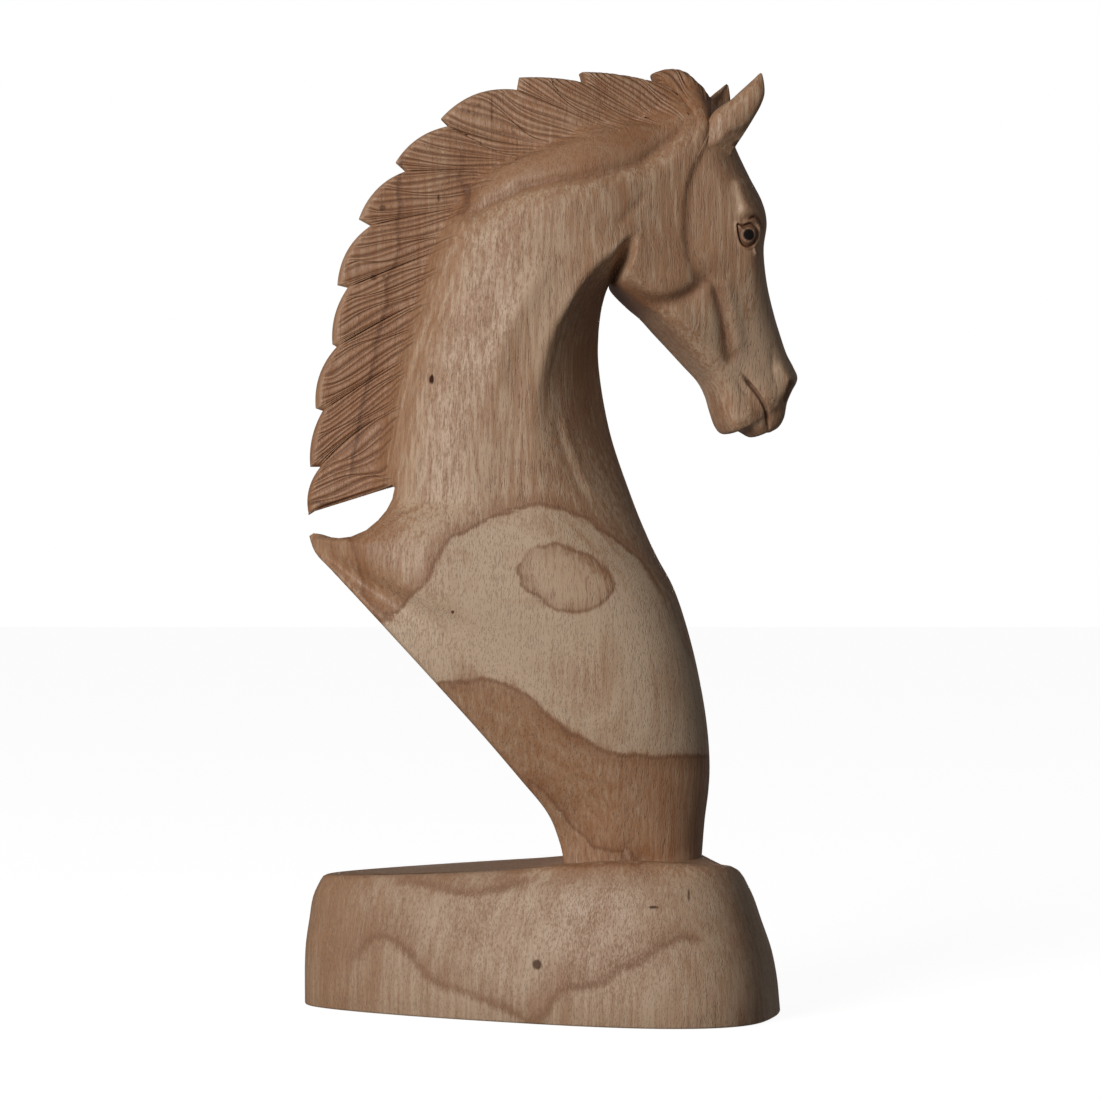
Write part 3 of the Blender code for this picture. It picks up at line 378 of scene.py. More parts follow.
# Mesh fineness: rows from the underside to the mane, as first and last station and their number
ROWS_BELOW_MANE = [(UNDER_MIDDLE, UNDER_EDGE, 9), (-14.95, SIDE_FOOT, 4), (-14.6, SIDE_TOP, 20),
                   (-13.15, RIM, 4), (-12.9, -11.05, 18), (FOOT, -4.5, 90), (-4.4, -0.05, 84)]
ROWS_OF_HEAD = 210
TABLE_ROWS_OF_HEAD = 500
TABLE_ROWS_PER_NOTCH = 31
TABLE_ROWS_PER_LOCK = 160
TABLE_COLUMNS = 4
COLUMNS = 92
PATH_POINTS = 150
ROOT_COLUMN = 0.45
REFINED = [(PUPIL, 9.0), (PUPIL, 7.5), (PUPIL, 6.5), ((99.5, 268.0), 7.0), ((99.5, 267.0), 5.0),
           ((85.0, 262.0), 9.0), ((88.0, 256.0), 8.0), ((80.0, 320.0), 6.0)]
TRIANGLES = 190000
# Half widths of the head between which the eyes are looked for, and how many are tried
PUPIL_SEARCH = (12.0, 28.0, 60)

# Figure of the wood: growth rings on the near side as the camera sees them, in the middle plane. Each ring
# is an outline. The far side has the same ones, a little lower.
SEEN_FROM = 1600.0
SEEN_HEIGHT = 195.9
SHOULDER_RING = [(-68.0, 166.2), (-61.2, 174.7), (-52.3, 183.6), (-46.8, 195.1), (-42.9, 201.0),
                 (-33.6, 205.3), (-27.2, 208.2), (-22.1, 212.5), (-13.6, 214.6), (-4.7, 215.0),
                 (5.5, 213.3), (17.0, 207.8), (27.6, 200.2), (37.4, 191.7), (46.3, 178.9), (55.7, 157.7),
                 (69.7, 132.2), (88.8, 108.4), (64.6, 108.4), (43.8, 108.4), (28.9, 108.8), (22.5, 110.9),
                 (14.9, 114.8), (7.6, 119.0), (0.4, 124.1), (-5.1, 130.0), (-11.5, 134.7), (-17.8, 138.5),
                 (-27.2, 141.1), (-37.8, 141.1), (-46.3, 139.4), (-64.2, 132.2), (-89.7, 157.7)]
SHOULDER_OVAL = [(-15.7, 190.8), (-13.6, 181.5), (-7.2, 175.1), (1.3, 170.8), (10.6, 168.7), (19.1, 170.8),
                 (25.5, 175.9), (28.1, 181.0), (24.6, 186.6), (18.3, 192.9), (9.8, 197.2), (1.3, 198.9),
                 (-7.2, 197.2), (-12.3, 193.8)]
FOOT_RING = [(-8.9, 98.2), (0.4, 89.2), (7.6, 79.9), (14.0, 73.5), (18.3, 69.3), (24.6, 68.0), (33.1, 67.1),
             (38.7, 65.0), (37.8, 62.5), (-8.9, 62.5)]
WITHERS_RING = [(-86.7, 208.7), (-86.1, 200.4), (-83.7, 195.3), (-81.6, 189.5), (-80.8, 184.4),
                (-79.5, 176.4), (-75.6, 170.0), (-72.7, 157.7), (-110.9, 157.7), (-110.9, 208.7)]
BASE_LEFT_RING = [(-84.6, 15.3), (-81.2, 25.9), (-74.4, 31.9), (-66.3, 29.3), (-60.8, 23.8), (-54.0, 15.7),
                  (-45.9, 9.8), (-34.9, 6.4), (-22.9, 2.1), (-10.6, -3.4), (-21.7, -16.6), (-89.7, -16.6)]
BASE_RIGHT_RING = [(-5.1, -3.4), (1.7, 5.1), (6.8, 9.8), (14.9, 9.8), (24.6, 11.9), (28.5, 17.0),
                   (38.2, 20.4), (46.3, 26.8), (55.7, 30.6), (69.3, 28.1), (78.2, 19.6), (82.5, -16.6),
                   (-2.5, -16.6)]
BASE_TOP_RING = [(-72.7, 59.9), (-66.3, 55.2), (-54.0, 53.5), (-45.9, 51.0), (-34.9, 48.9), (-24.2, 51.0),
                 (-16.1, 51.9), (-9.3, 55.2), (-2.5, 59.1), (-13.2, 68.4), (-64.2, 68.4)]
MANE_RING = [(-62.5, 378.7), (-65.0, 354.9), (-64.6, 343.0), (-65.9, 329.4), (-65.0, 324.7), (-67.1, 317.5),
             (-70.1, 312.4), (-69.7, 308.1), (-70.5, 302.2), (-72.7, 293.7), (-75.2, 283.1), (-76.9, 271.6),
             (-80.3, 259.7), (-82.5, 246.9), (-84.6, 234.2), (-87.5, 217.2), (-115.2, 217.2),
             (-115.2, 378.7)]
MANE_CURVE = [(-37.8, 370.2), (-37.4, 359.1), (-39.1, 354.9), (-36.1, 350.6), (-34.9, 346.4), (-36.1, 342.1),
              (-39.1, 339.1), (-36.5, 342.1), (-35.3, 346.4), (-36.5, 350.6), (-39.5, 354.9), (-37.8, 359.1)]
RINGS_SOFT_OUTSIDE = [SHOULDER_RING, FOOT_RING, WITHERS_RING, BASE_LEFT_RING, BASE_RIGHT_RING, MANE_RING,
                      MANE_CURVE]
RINGS_SOFT_INSIDE = [SHOULDER_OVAL, BASE_TOP_RING]
RING_REACH = 14.0
RINGS_FAINTER_ON_BASE = 0.3
FAR_SIDE_LOWER = 10.0
FAR_SIDE_BASE_LESS = 0.7

# Ramps, as start and run: across to the far side, down to the base, and from the mane's hairs to the neck
FAR_SIDE = (-14.0, 40.0)
BASE_COLOUR = (65.0, -6.0)
MANE_COLOUR_STOPS = (0.75, 0.4)

# Each ring is a dark line with a soft side: where it starts, is darkest and ends, from the outline outwards
RING_LINE = (-1.3, 0.2, 1.9)
RING_SIDE = (-0.6, 0.8, 8.0)
RING_RAGGED = 1.4
RING_RAGGED_ON_BASE = 2.0
RING_WOBBLE = 3.4
RING_WIDER_ON_BASE = 1.1
RING_LEAST = 0.65
RING_VARIES = 0.7
RING_FACING = (0.12, 0.4)

# Places where the rings fade away: middle as seen and reach
RING_FADES = [(-86.0, 12.0, 16.0), (80.0, 12.0, 17.0), (69.0, 29.0, 9.0), (-4.0, 60.0, 9.0),
              (-70.0, 58.0, 8.0), (52.0, 165.0, 18.0), (66.0, 135.0, 20.0), (-12.0, 198.0, 7.0),
              (-64.0, 372.0, 8.0), (-86.0, 222.0, 8.0)]
RING_FADE_CORE = 0.25

# Redder parts, or paler where negative: how much, and the ramps along x or z (start, run) that bound each
RED_EVERYWHERE = 0.22
RED_BODY = [(0.33, (("z", 148.0, -30.0), ("z", 58.0, 8.0))),
            (0.3, (("x", -55.0, -18.0), ("z", 222.0, -12.0), ("z", 120.0, 12.0)))]
RED_SLICE_END = [(0.2, (("x", -58.0, -30.0),))]
RED_SHOULDER = [(0.12, (("z", 175.0, -60.0),))]
RED_HEAD_AND_MANE = [(0.14, (("x", 20.0, 30.0), ("z", 240.0, 20.0))),
                     (-0.4, (("x", 50.0, 26.0), ("z", 322.0, -30.0), ("z", 258.0, 18.0))),
                     (0.25, (("z", 300.0, -50.0), ("x", -62.0, -8.0), ("z", 212.0, 6.0)))]
RED_CREST = 0.5
BASE_PALER = 0.12

# The brown crest between the neck's crease and the mane: middle, way it lies, half sizes and soft edge
CREST_MIDDLE = (14.0, 363.0)
CREST_WAY = (0.95, 0.32)
CREST_HALF = (44.0, 10.0)
CREST_EDGE = 1.35

# Where the streaks are weaker, and the soft edges of the shoulder's pale wood and of its oval
CALM_SHOULDER = 0.65
CALM_BASE = 0.6
CALM_CREST = 0.5
PALE_EDGE = 6.0
OVAL_EDGE = 2.0

# Knots, pin holes and checks of the near side: middle, half width, half height and strength
MARKS = [(-49.9, 267.2, 1.0, 1.9, 1.0), (-40.7, 170.2, 0.65, 0.65, 0.9), (-5.8, 24.6, 1.9, 2.0, 0.8),
         (42.2, 49.2, 1.8, 0.6, 0.8), (-47.6, 344.8, 0.42, 1.5, 0.7), (-75.3, 311.5, 1.3, 1.2, 0.6),
         (-70.8, 311.8, 0.7, 0.85, 0.5), (-71.5, 340.9, 1.3, 1.2, 0.6), (-30.5, 384.4, 0.6, 0.7, 0.4),
         (-34.8, 381.8, 0.6, 0.6, 0.4), (-15.6, 372.4, 0.6, 0.9, 0.4), (56.7, 53.9, 0.5, 2.4, 0.7),
         (-25.1, 382.3, 0.45, 6.0, 0.4)]
MARK_RAGGED = 0.8
MARK_EDGE = (0.7, 1.35)

# Rings round each pupil, from its edge: brown, broken pale, brown again, and the burnt middle's soft edge
PUPIL_BROWN = (1.6, 4.2)
PUPIL_PALE = (0.5, 1.4)
PUPIL_BROKEN = (0.36, 0.56)
PUPIL_EDGE = 0.6
PUPIL_SOFT = 0.25

# Colours of the wood
CREAM = (0.55, 0.395, 0.270, 1.0)
PALE = (0.51, 0.345, 0.225, 1.0)
TAN = (0.385, 0.218, 0.124, 1.0)
REDDISH = (0.31, 0.138, 0.062, 1.0)
BROWN = (0.145, 0.064, 0.033, 1.0)
VESSEL = (0.165, 0.088, 0.054, 1.0)
KNOT = (0.040, 0.012, 0.005, 1.0)
BURNT = (0.006, 0.004, 0.003, 1.0)
PUPIL_RING = (0.36, 0.23, 0.145, 1.0)

# Patterns of the wood: grain size along x, y and z, detail and roughness of the noise
STREAKS = ((1.5, 1.5, 34.0), 2.0, 0.6)
BANDS = ((60.0, 2.6, 130.0), 3.0, 0.6)
CLOUDS = ((26.0, 26.0, 48.0), 2.0, 0.5)
FIBRE = ((0.42, 0.42, 8.0), 1.0, 0.5)
VESSELS = ((0.52, 0.52, 1.9), 1.0, 0.5)
LONG_VESSELS = ((0.6, 0.6, 6.5), 1.0, 0.5)
FLECKS = ((0.7, 0.7, 3.4), 1.0, 0.5)
DENSITY = ((9.0, 9.0, 26.0), 1.0, 0.5)
RAGGED = ((1.1, 1.1, 4.0), 2.0, 0.5)
WOBBLE = ((7.0, 7.0, 9.0), 1.0, 0.5)

# How much each pattern reddens the wood, and how much each darkens it to brown
REDDENS = {"all": 0.08, "mane": 0.45, "ring": 0.25, "ring in mane": 0.5, "ring side": 0.24, "bands": 0.85,
           "bands on base": -0.35, "streaks": 1.7, "clouds": 0.55, "stain_and_shade": 0.32}
# Among the browns, hollow and cut are painted shade in the hollows and cuts, and the base top is painted
# shade on the base's upward faces
BROWNS = {"ring": 0.30, "ring in mane": 0.32, "ring side": 0.14, "stain_and_shade": 0.36, "base": 0.15,
          "shade on base top": 0.22, "fibre": 0.45, "hollow": 0.40, "cut": 0.58}

# Where each colour or mark starts to show and is full, on its own pattern, and how strong it is then
TAN_STEP = (0.0, 0.5)
REDDISH_STEP = (0.35, 1.15)
VESSEL_STEP = (0.54, 0.66)
LONG_VESSEL_STEP = (0.56, 0.70)
FLECK_STEP = (0.58, 0.72)
HOLLOW_SHADE_STEP = (0.03, 0.30)
RIDGE_STEP = (0.03, 0.25)
CUT_SHADE_STEP = (0.10, 0.60)
UPWARD_STEP = (0.5, 0.95)
VESSEL_STRENGTH = 0.36
FLECK_STRENGTH = 0.18
PAINTED_HIGHLIGHT_STRENGTH = 0.6
RIDGE_STRENGTH = 0.03
RIDGE_IN_MANE = 0.75

# Roughness of the bare wood, what changes it, and the relief of the grain
ROUGHNESS = 0.47
ROUGHER = {"vessels": 0.2, "streaks": 0.1, "burnt": 0.5, "ridge in mane": -0.12, "polish_and_highlight": -0.2}
SHEEN = 0.34
GRAIN_BUMP = 0.22
GRAIN_STRENGTH = 0.6

# Camera, in metres, where the photograph was taken from
CAMERA_PLACE = (-0.0004, -1.6, 0.1959)
CAMERA_LENS = 123.2
CAMERA_SENSOR = 36.0

# Floor, in metres. It glows nearly as white as the background and throws no light back
FLOOR_COLOUR = (0.22, 0.22, 0.22, 1.0)
FLOOR_ROUGHNESS = 0.9
FLOOR_GLOW = 0.93
FLOOR_REACH = 8.0
FLOOR_BELOW = 0.0003
WHITE = (1.0, 1.0, 1.0, 1.0)

# Soft lights, aimed at the middle of the carving: name, place, size, power and whether the floor sees it
LIGHTS = [("key", (-1.32, -1.95, 0.76), 1.0, 46.5, True), ("behind", (0.25, 2.3, 0.42), 0.9, 34.0, False)]
AMBIENT = 0.12
AIM = Vector((0.0, 0.0, 0.20))


def spline(knots, values, at):
    """Smooth curve through values at knots, read at the numbers in at."""
    knots = np.asarray(knots, float)
    values = np.asarray(values, float)
    flat = values.ndim == 1
    if flat:
        values = values[:, None]
    step = np.diff(knots)
    slope = np.diff(values, axis=0) / step[:, None]
    tangent = np.empty_like(values)
    tangent[0], tangent[-1] = slope[0], slope[-1]
    share = (step[:-1] / (step[:-1] + step[1:]))[:, None]
    tangent[1:-1] = slope[:-1] * (1 - share) + slope[1:] * share
    index = np.clip(np.searchsorted(knots, at, side="right") - 1, 0, len(knots) - 2)
    t = ((at - knots[index]) / step[index])[:, None]
    h = step[index][:, None]
    start, end = values[index], values[index + 1]
    result = (start * (2 * t**3 - 3 * t**2 + 1) + tangent[index] * h * (t**3 - 2 * t**2 + t)
              + end * (3 * t**2 - 2 * t**3) + tangent[index + 1] * h * (t**3 - t**2))
    return result[:, 0] if flat else result


def station_value(pairs, at):
    knots, values = zip(*pairs)
    return spline(knots, values, at)


def smooth_step(t):
    t = np.clip(t, 0.0, 1.0)
    return t * t * (3 - 2 * t)


def ramp(value, start, run):
    """0 up to start, 1 from a run further on, and smooth between them. A negative run goes down."""
    return smooth_step((value - start) / run)


def smooth_max(a, b, blend):
    share = np.clip(0.5 + 0.5 * (a - b) / blend, 0.0, 1.0)
    return b + (a - b) * share + blend * share * (1 - share)


def nearest_on_line(x, z, points):
    """Distance to a chain of points, share of its length at the nearest place, and True on its left."""
    points = np.asarray(points, float)
    left = np.zeros(x.shape, bool)
    if len(points) == 1:
        return np.hypot(x - points[0, 0], z - points[0, 1]), np.full(x.shape, 0.5), left
    lengths = np.hypot(*np.diff(points, axis=0).T)
    starts = np.concatenate([[0], np.cumsum(lengths)])
    best = np.full(x.shape, np.inf)
    place = np.zeros(x.shape)
    for (ax, az), (bx, bz), start, length in zip(points[:-1], points[1:], starts, lengths):
        along = np.clip(((x - ax) * (bx - ax) + (z - az) * (bz - az)) / length**2, 0, 1)
        gap = np.hypot(x - ax - along * (bx - ax), z - az - along * (bz - az))
        nearer = gap < best
        best = np.where(nearer, gap, best)
        place = np.where(nearer, (start + along * length) / starts[-1], place)
        left = np.where(nearer, (bx - ax) * (z - az) > (bz - az) * (x - ax), left)
    return best, place, left


def inside_outline(x, z, points):
    """True inside a closed outline."""
    inside = np.zeros(x.shape, bool)
    for (ax, az), (bx, bz) in zip(points, points[1:] + points[:1]):
        crosses = (az > z) != (bz > z)
        cut = ax + (z - az) * (bx - ax) / (bz - az if bz != az else 1e-9)
        inside ^= crosses & (x < cut)
    return inside


def outline_gap(x, z, outline):
    """Signed distance to a closed outline, positive outside."""
    gap, _, _ = nearest_on_line(x, z, outline + outline[:1])
    return np.where(inside_outline(x, z, outline), -gap, gap)


def line_end_fade(points, place, reach):
    """A line fades towards its ends, except where it is short for its reach."""
    length = sum(math.dist(start, end) for start, end in zip(points, points[1:]))
    if length < SHORT_LINE * reach:
        return 1.0
    return smooth_step(place / LINE_END) * smooth_step((1 - place) / LINE_END)


def line_strength(lines, x, z):
    """Sum over lines, each with its points, half width and strength, at places in the side plane."""
    total = np.zeros(x.shape)
    for points, half_width, strength in lines:
        gap, place, _ = nearest_on_line(x, z, points)
        total += strength * line_end_fade(points, place, half_width) * np.exp(-(gap / half_width) ** 2)
    return total


def relief_depth(x, z):
    """Sum of the soft ridges, valleys and steps at places in the side plane."""
    total = line_strength(RELIEF, x, z)
    for points, width, reach, depth, first, last in STEPS:
        gap, place, left = nearest_on_line(x, z, points)
        fade = smooth_step(place / first) * smooth_step((1 - place) / last)
        signed = np.where(left, gap, -gap)
        step = smooth_step(0.5 + signed / (2 * width)) * np.exp(-(np.maximum(signed, 0) / reach) ** 2)
        total += depth * fade * step
    return total


def smooth_outline(points, count):
    """A closed outline rounded through its points."""
    around = [points[index % len(points)] for index in range(-2, len(points) + 3)]
    at = np.arange(count) * len(points) / count
    return [tuple(place) for place in spline(np.arange(-2, len(points) + 3), around, at)]


def lock_outline(at):
    """Outer edge of the mane: a convex arc from each tip to the notch above it, then a step out."""
    tips, notches = np.array(LOCK_TIP), np.array(LOCK_NOTCH)
    lock = np.clip(np.floor(at).astype(int), 0, len(notches) - 1)
    share = at - lock
    tip, notch = tips[lock], notches[lock]
    chord = notch - tip
    outward = np.stack([-chord[:, 1], chord[:, 0]], axis=1)
    middle = (tip + notch) / 2 + outward * 2 * np.array(LOCK_BULGE)[lock][:, None]
    t = np.clip((share - NOTCH_SHARE) / (1 - NOTCH_SHARE), 0, 1)
    forelock = spline(np.linspace(0, 1, len(FORELOCK_TOP)), FORELOCK_TOP, t)
    t = t[:, None]
    arc = tip * (1 - t) ** 2 + middle * 2 * t * (1 - t) + notch * t**2
    arc = np.where((lock == len(notches) - 1)[:, None], forelock, arc)
    below = notches[np.maximum(lock - 1, 0)]
    step = smooth_step(share / NOTCH_SHARE)[:, None]
    stepped = below + (tip - below) * step
    in_step = ((share < NOTCH_SHARE) & (lock > 0))[:, None]
    return np.where(in_step, stepped, arc)


def section_points(at):
    """Back, middle, root and front point of each section's path."""
    face, jaw = np.array(FACE), np.array(JAW)
    head_root = face + (jaw - face) * HEAD_ROOT_SHARE
    knots = np.arange(FOOT, LIPS + 1)
    root = spline(knots, np.concatenate([BODY_ROOT, LOCK_ROOT, head_root]), at)
    front = spline(knots, np.concatenate([BODY_FRONT, LOCK_FRONT, JAW]), at)
    body_middle = (np.array(BODY_BACK) + np.array(BODY_ROOT)) / 2
    head_middle = (face + head_root) / 2
    middle = spline(knots, np.concatenate([body_middle, LOCK_MIDDLE, head_middle]), at)
    body_back = spline(knots[:12], np.concatenate([BODY_BACK, LOCK_TIP[:1]]), at)
    head_back = spline(knots[22:], np.concatenate([LOCK_TIP[-1:], FACE]), at)
    in_mane = ((at >= FIRST_LOCK) & (at < FORELOCK))[:, None]
    back = np.where(in_mane, lock_outline(at), np.where((at < FIRST_LOCK)[:, None], body_back, head_back))
    return back, middle, root, front


def lock_form(at, share):
    """Shingled locks, as depth along each section of the mane."""
    lock = at - np.floor(at)
    crown = LOCK_CROWN * (1 - (2 * lock - 1) ** 2)
    shingle = DIVIDE_STEP * (1 - 2 * smooth_step((lock - NOTCH_SHARE) / (1 - NOTCH_SHARE)) ** SHINGLE_POWER)
    step = smooth_step(lock / (NOTCH_SHARE * DIVIDE_RISE))
    shingle = np.where(lock < NOTCH_SHARE, -DIVIDE_STEP + 2 * DIVIDE_STEP * step, shingle)
    active = (at > FIRST_LOCK) & (at < FORELOCK)
    end = smooth_step((FORELOCK - at) / FORELOCK_END)
    depth = np.where(active, (crown + shingle) * end, 0.0)[:, None]
    return depth * (1 - ramp(share, DIVIDE_FADE, DIVIDE_ENDS - DIVIDE_FADE))


def bust_sections(at):
    """Dense paths of the sections at the stations in at: x, z and half thickness."""
    back, middle, root, front = section_points(at)
    control = 2 * middle - (back + root) / 2
    t = (1 - np.cos(np.linspace(0, math.pi, PATH_POINTS))) / 2
    t = t[None, :, None]
    first = (back[:, None] * (1 - t) ** 2 + control[:, None] * 2 * t * (1 - t) + root[:, None] * t**2)
    control = (root + front) / 2 + FRONT_BULGE * (root - middle)
    second = (root[:, None] * (1 - t) ** 2 + control[:, None] * 2 * t * (1 - t) + front[:, None] * t**2)
    path = np.concatenate([first, second[:, 1:]], axis=1)
    gaps = np.hypot(*np.moveaxis(np.diff(path, axis=1), 2, 0))
    from_back = np.concatenate([np.zeros((len(at), 1)), np.cumsum(gaps, axis=1)], axis=1)
    from_front = from_back[:, -1:] - from_back
    to_root = from_back[:, PATH_POINTS - 1][:, None]

    value = {name: station_value(pairs, at)[:, None] for name, pairs in (
        ("flesh", FLESH_HALF), ("edge", EDGE_HALF), ("round", EDGE_ROUND), ("root", ROOT_HALF),
        ("back_reach", FLESH_BACK_REACH), ("front_reach", FRONT_REACH), ("front_round", FRONT_ROUND))}
    in_mane = ramp(at, *PLATE_IN)[:, None] * ramp(at, *PLATE_OUT)[:, None]

    plate = value["edge"] + (value["root"] - value["edge"]) * np.clip(from_back / to_root, 0, 1)
    start = np.maximum(to_root - FLESH_START, 0) * in_mane
    rise = np.clip((from_back - start) / value["back_reach"], 0, 1)
    flesh = value["flesh"] * np.sqrt(np.clip(1 - (1 - rise) ** 2, 0, 1))
    half = smooth_max(plate, flesh, BLEND)
    half = half + lock_form(at, from_back / to_root) * smooth_step(from_back / EDGE_FADE)
    inside = np.clip(from_front / value["front_reach"], 0, 1)
    power = value["front_round"]
    falling = np.clip(1 - (1 - inside) ** power, 0, 1) ** (1 / power)
    half = half * falling
    edge = np.clip(from_back, 0, value["round"])
    rounding = np.sqrt(np.clip(value["round"]**2 - (value["round"] - edge) ** 2, 0, None))
    half = half - (value["round"] - rounding)
    x, z = path[:, :, 0], path[:, :, 1]
    fade = falling * smooth_step(from_front / EDGE_FADE) * smooth_step(from_back / EDGE_FADE)
    half = half + relief_depth(x, z) * fade
    gap, _, _ = nearest_on_line(x, z, HOLLOW)
    cut = np.clip(HOLLOW_EDGE - gap, 0, HOLLOW_EDGE) * ramp(from_back, *HOLLOW_EDGE_STARTS)
    half = half - (HOLLOW_EDGE - np.sqrt(HOLLOW_EDGE**2 - cut**2))
    half = np.maximum(half, THINNEST)
    half[:, -1] = 0.0
    return x + BUST_SHIFT, z, half


def base_sections(at):
    """Sections of the base: under it, up the side, over the rim and in to the foot."""
    heights, narrowing, lean = zip(*BASE_SIDE)
    # Each row: station, share of the height, step in at the foot or rim, drop below the share of the height
    rows = [(UNDER_EDGE, 0.0, BASE_TOE, 0.0),
            (TOE_HALFWAY, 0.0, BASE_TOE * ROUND_SHARE, -BASE_TOE * ROUND_SHARE),
            (SIDE_FOOT, 0.0, 0.0, -BASE_TOE),
            (SIDE_TOP, 1.0, -BASE_RIM * RIM_SWELL, BASE_RIM),
            (RIM_HALFWAY, 1.0, BASE_RIM * ROUND_SHARE, BASE_RIM * ROUND_SHARE),
            (RIM, 1.0, BASE_RIM, 0.0)]
    knots = [row[0] for row in rows]
    share, inward, drop = (np.interp(at, knots, [row[i] for row in rows])[:, None] for i in (1, 2, 3))
    narrow = spline(heights, narrowing, share[:, 0])[:, None]
    length = (BASE_LENGTH + (BASE_TOP_LENGTH - BASE_LENGTH) * narrow) / 2 - inward
    width = (BASE_WIDTH + (BASE_TOP_WIDTH - BASE_WIDTH) * narrow) / 2 - inward
    width = width * np.clip(at - UNDER_MIDDLE, 0, 1)[:, None]
    shift = BASE_SHIFT + (BASE_TOP_SHIFT - BASE_SHIFT) * spline(heights, lean, share[:, 0])[:, None]
    along = -np.cos(np.linspace(0, math.pi, 2 * PATH_POINTS - 1))[None, :]
    x = along * length + shift
    z = base_height(x) * share - drop
    half = width * (1 + BASE_TAPER * along)
    half = half * np.clip(1 - np.abs(along) ** BASE_SQUARENESS, 0, 1) ** (1 / BASE_SQUARENESS)
    return x, z, half


def base_height(x):
    """Height of the base's top at x: it climbs to the chest and dips at the front end."""
    share = (x - BASE_TOP_SHIFT) / BASE_TOP_LENGTH + 0.5
    middle = BASE_HEIGHT_BACK + (BASE_HEIGHT_FRONT - BASE_HEIGHT_BACK) * BASE_MIDDLE_CLIMB
    heights = [BASE_HEIGHT_BACK, middle, BASE_HEIGHT_FRONT, BASE_HEIGHT_FRONT - BASE_FRONT_DIP]
    climb = spline(BASE_TOP_SHARES, heights, np.clip(share, 0, 1).ravel())
    return climb.reshape(np.shape(x))


def skin_table(rows, columns):
    """Places on the near half where rows of stations cross columns."""
    in_base = rows < FOOT
    x = np.empty((len(rows), 2 * PATH_POINTS - 1))
    z, half = x.copy(), x.copy()
    low = rows[in_base]
    rim = base_sections(np.minimum(low, RIM))
    foot = bust_sections(np.full(len(low), FOOT))
    inward = np.clip((low - RIM) / (FOOT - RIM), 0, 1)[:, None]
    for part, base_part, foot_part in zip((x, z, half), rim, foot):
        part[in_base] = base_part * (1 - inward) + foot_part * inward
    x[~in_base], z[~in_base], half[~in_base] = bust_sections(rows[~in_base])
    # The path starts at the middle of the back, so its first step is out to the edge
    x = np.concatenate([x[:, :1], x], axis=1)
    z = np.concatenate([z[:, :1], z], axis=1)
    half = np.concatenate([np.zeros((len(rows), 1)), half], axis=1)
    step = np.sqrt(np.diff(x, axis=1) ** 2 + np.diff(z, axis=1) ** 2 + np.diff(half, axis=1) ** 2)
    length = np.concatenate([np.zeros((len(rows), 1)), np.cumsum(step, axis=1)], axis=1)
    table = np.empty((len(rows), len(columns), 3))
    for row in range(len(rows)):
        to_root = length[row, PATH_POINTS]
        total = length[row, -1]
        wanted = np.where(columns < ROOT_COLUMN, columns / ROOT_COLUMN * to_root,
                          to_root + (columns - ROOT_COLUMN) / (1 - ROOT_COLUMN) * (total - to_root))
        table[row, :, 0] = np.interp(wanted, length[row], x[row])
        table[row, :, 1] = -np.interp(wanted, length[row], half[row])
        table[row, :, 2] = np.interp(wanted, length[row], z[row])
    return table


class Skin:
    """The near half of the carving, read smoothly at any station and column."""

    def __init__(self):
        parts = [stations()[0], np.linspace(FORELOCK, LIPS, TABLE_ROWS_OF_HEAD)]
        steps = np.concatenate([np.linspace(0, NOTCH_SHARE, TABLE_ROWS_PER_NOTCH),
                                np.linspace(NOTCH_SHARE, 1, TABLE_ROWS_PER_LOCK)[:-1], [LAST_ROW_OF_LOCK]])
        parts += [lock + steps for lock in range(int(FORELOCK))]
        self.rows = np.unique(np.round(np.concatenate(parts), 5))
        self.columns = np.linspace(0, 1, COLUMNS * TABLE_COLUMNS + 1)
        self.table = skin_table(self.rows, self.columns)

    def places(self, at, around):
        row = np.clip(np.searchsorted(self.rows, at, side="right") - 1, 0, len(self.rows) - 2)
        down = np.clip((at - self.rows[row]) / (self.rows[row + 1] - self.rows[row]), 0, 1)[:, None]
        place = np.clip(around, 0, 1) * (len(self.columns) - 1)
        column = np.minimum(place.astype(int), len(self.columns) - 2)
        across = (place - column)[:, None]
        near = self.table[row, column] * (1 - across) + self.table[row, column + 1] * across
        far = self.table[row + 1, column] * (1 - across) + self.table[row + 1, column + 1] * across
        return near * (1 - down) + far * down


def hair_lines(at, around):
    """Stations moved along the columns so that the rows of the grid wander as hairs do."""
    lock = np.floor(at)
    share = at - lock
    reach = around / ROOT_COLUMN
    wave = sum(height * np.sin(reach * by_reach + lock * by_lock + share * by_share)
               for height, by_reach, by_lock, by_share in HAIR_WAVES)
    calm = smooth_step((share - NOTCH_SHARE) / WANDER_ENDS) * smooth_step((1 - share) / WANDER_ENDS)
    calm = calm * ramp(reach, *WANDER_STARTS) * (1 - ramp(reach, *WANDER_STOPS))
    in_mane = (at > FIRST_LOCK) & (at < FORELOCK)
    return at + np.where(in_mane, HAIR_WANDER * wave * calm / HAIRS_IN_LOCK, 0.0)


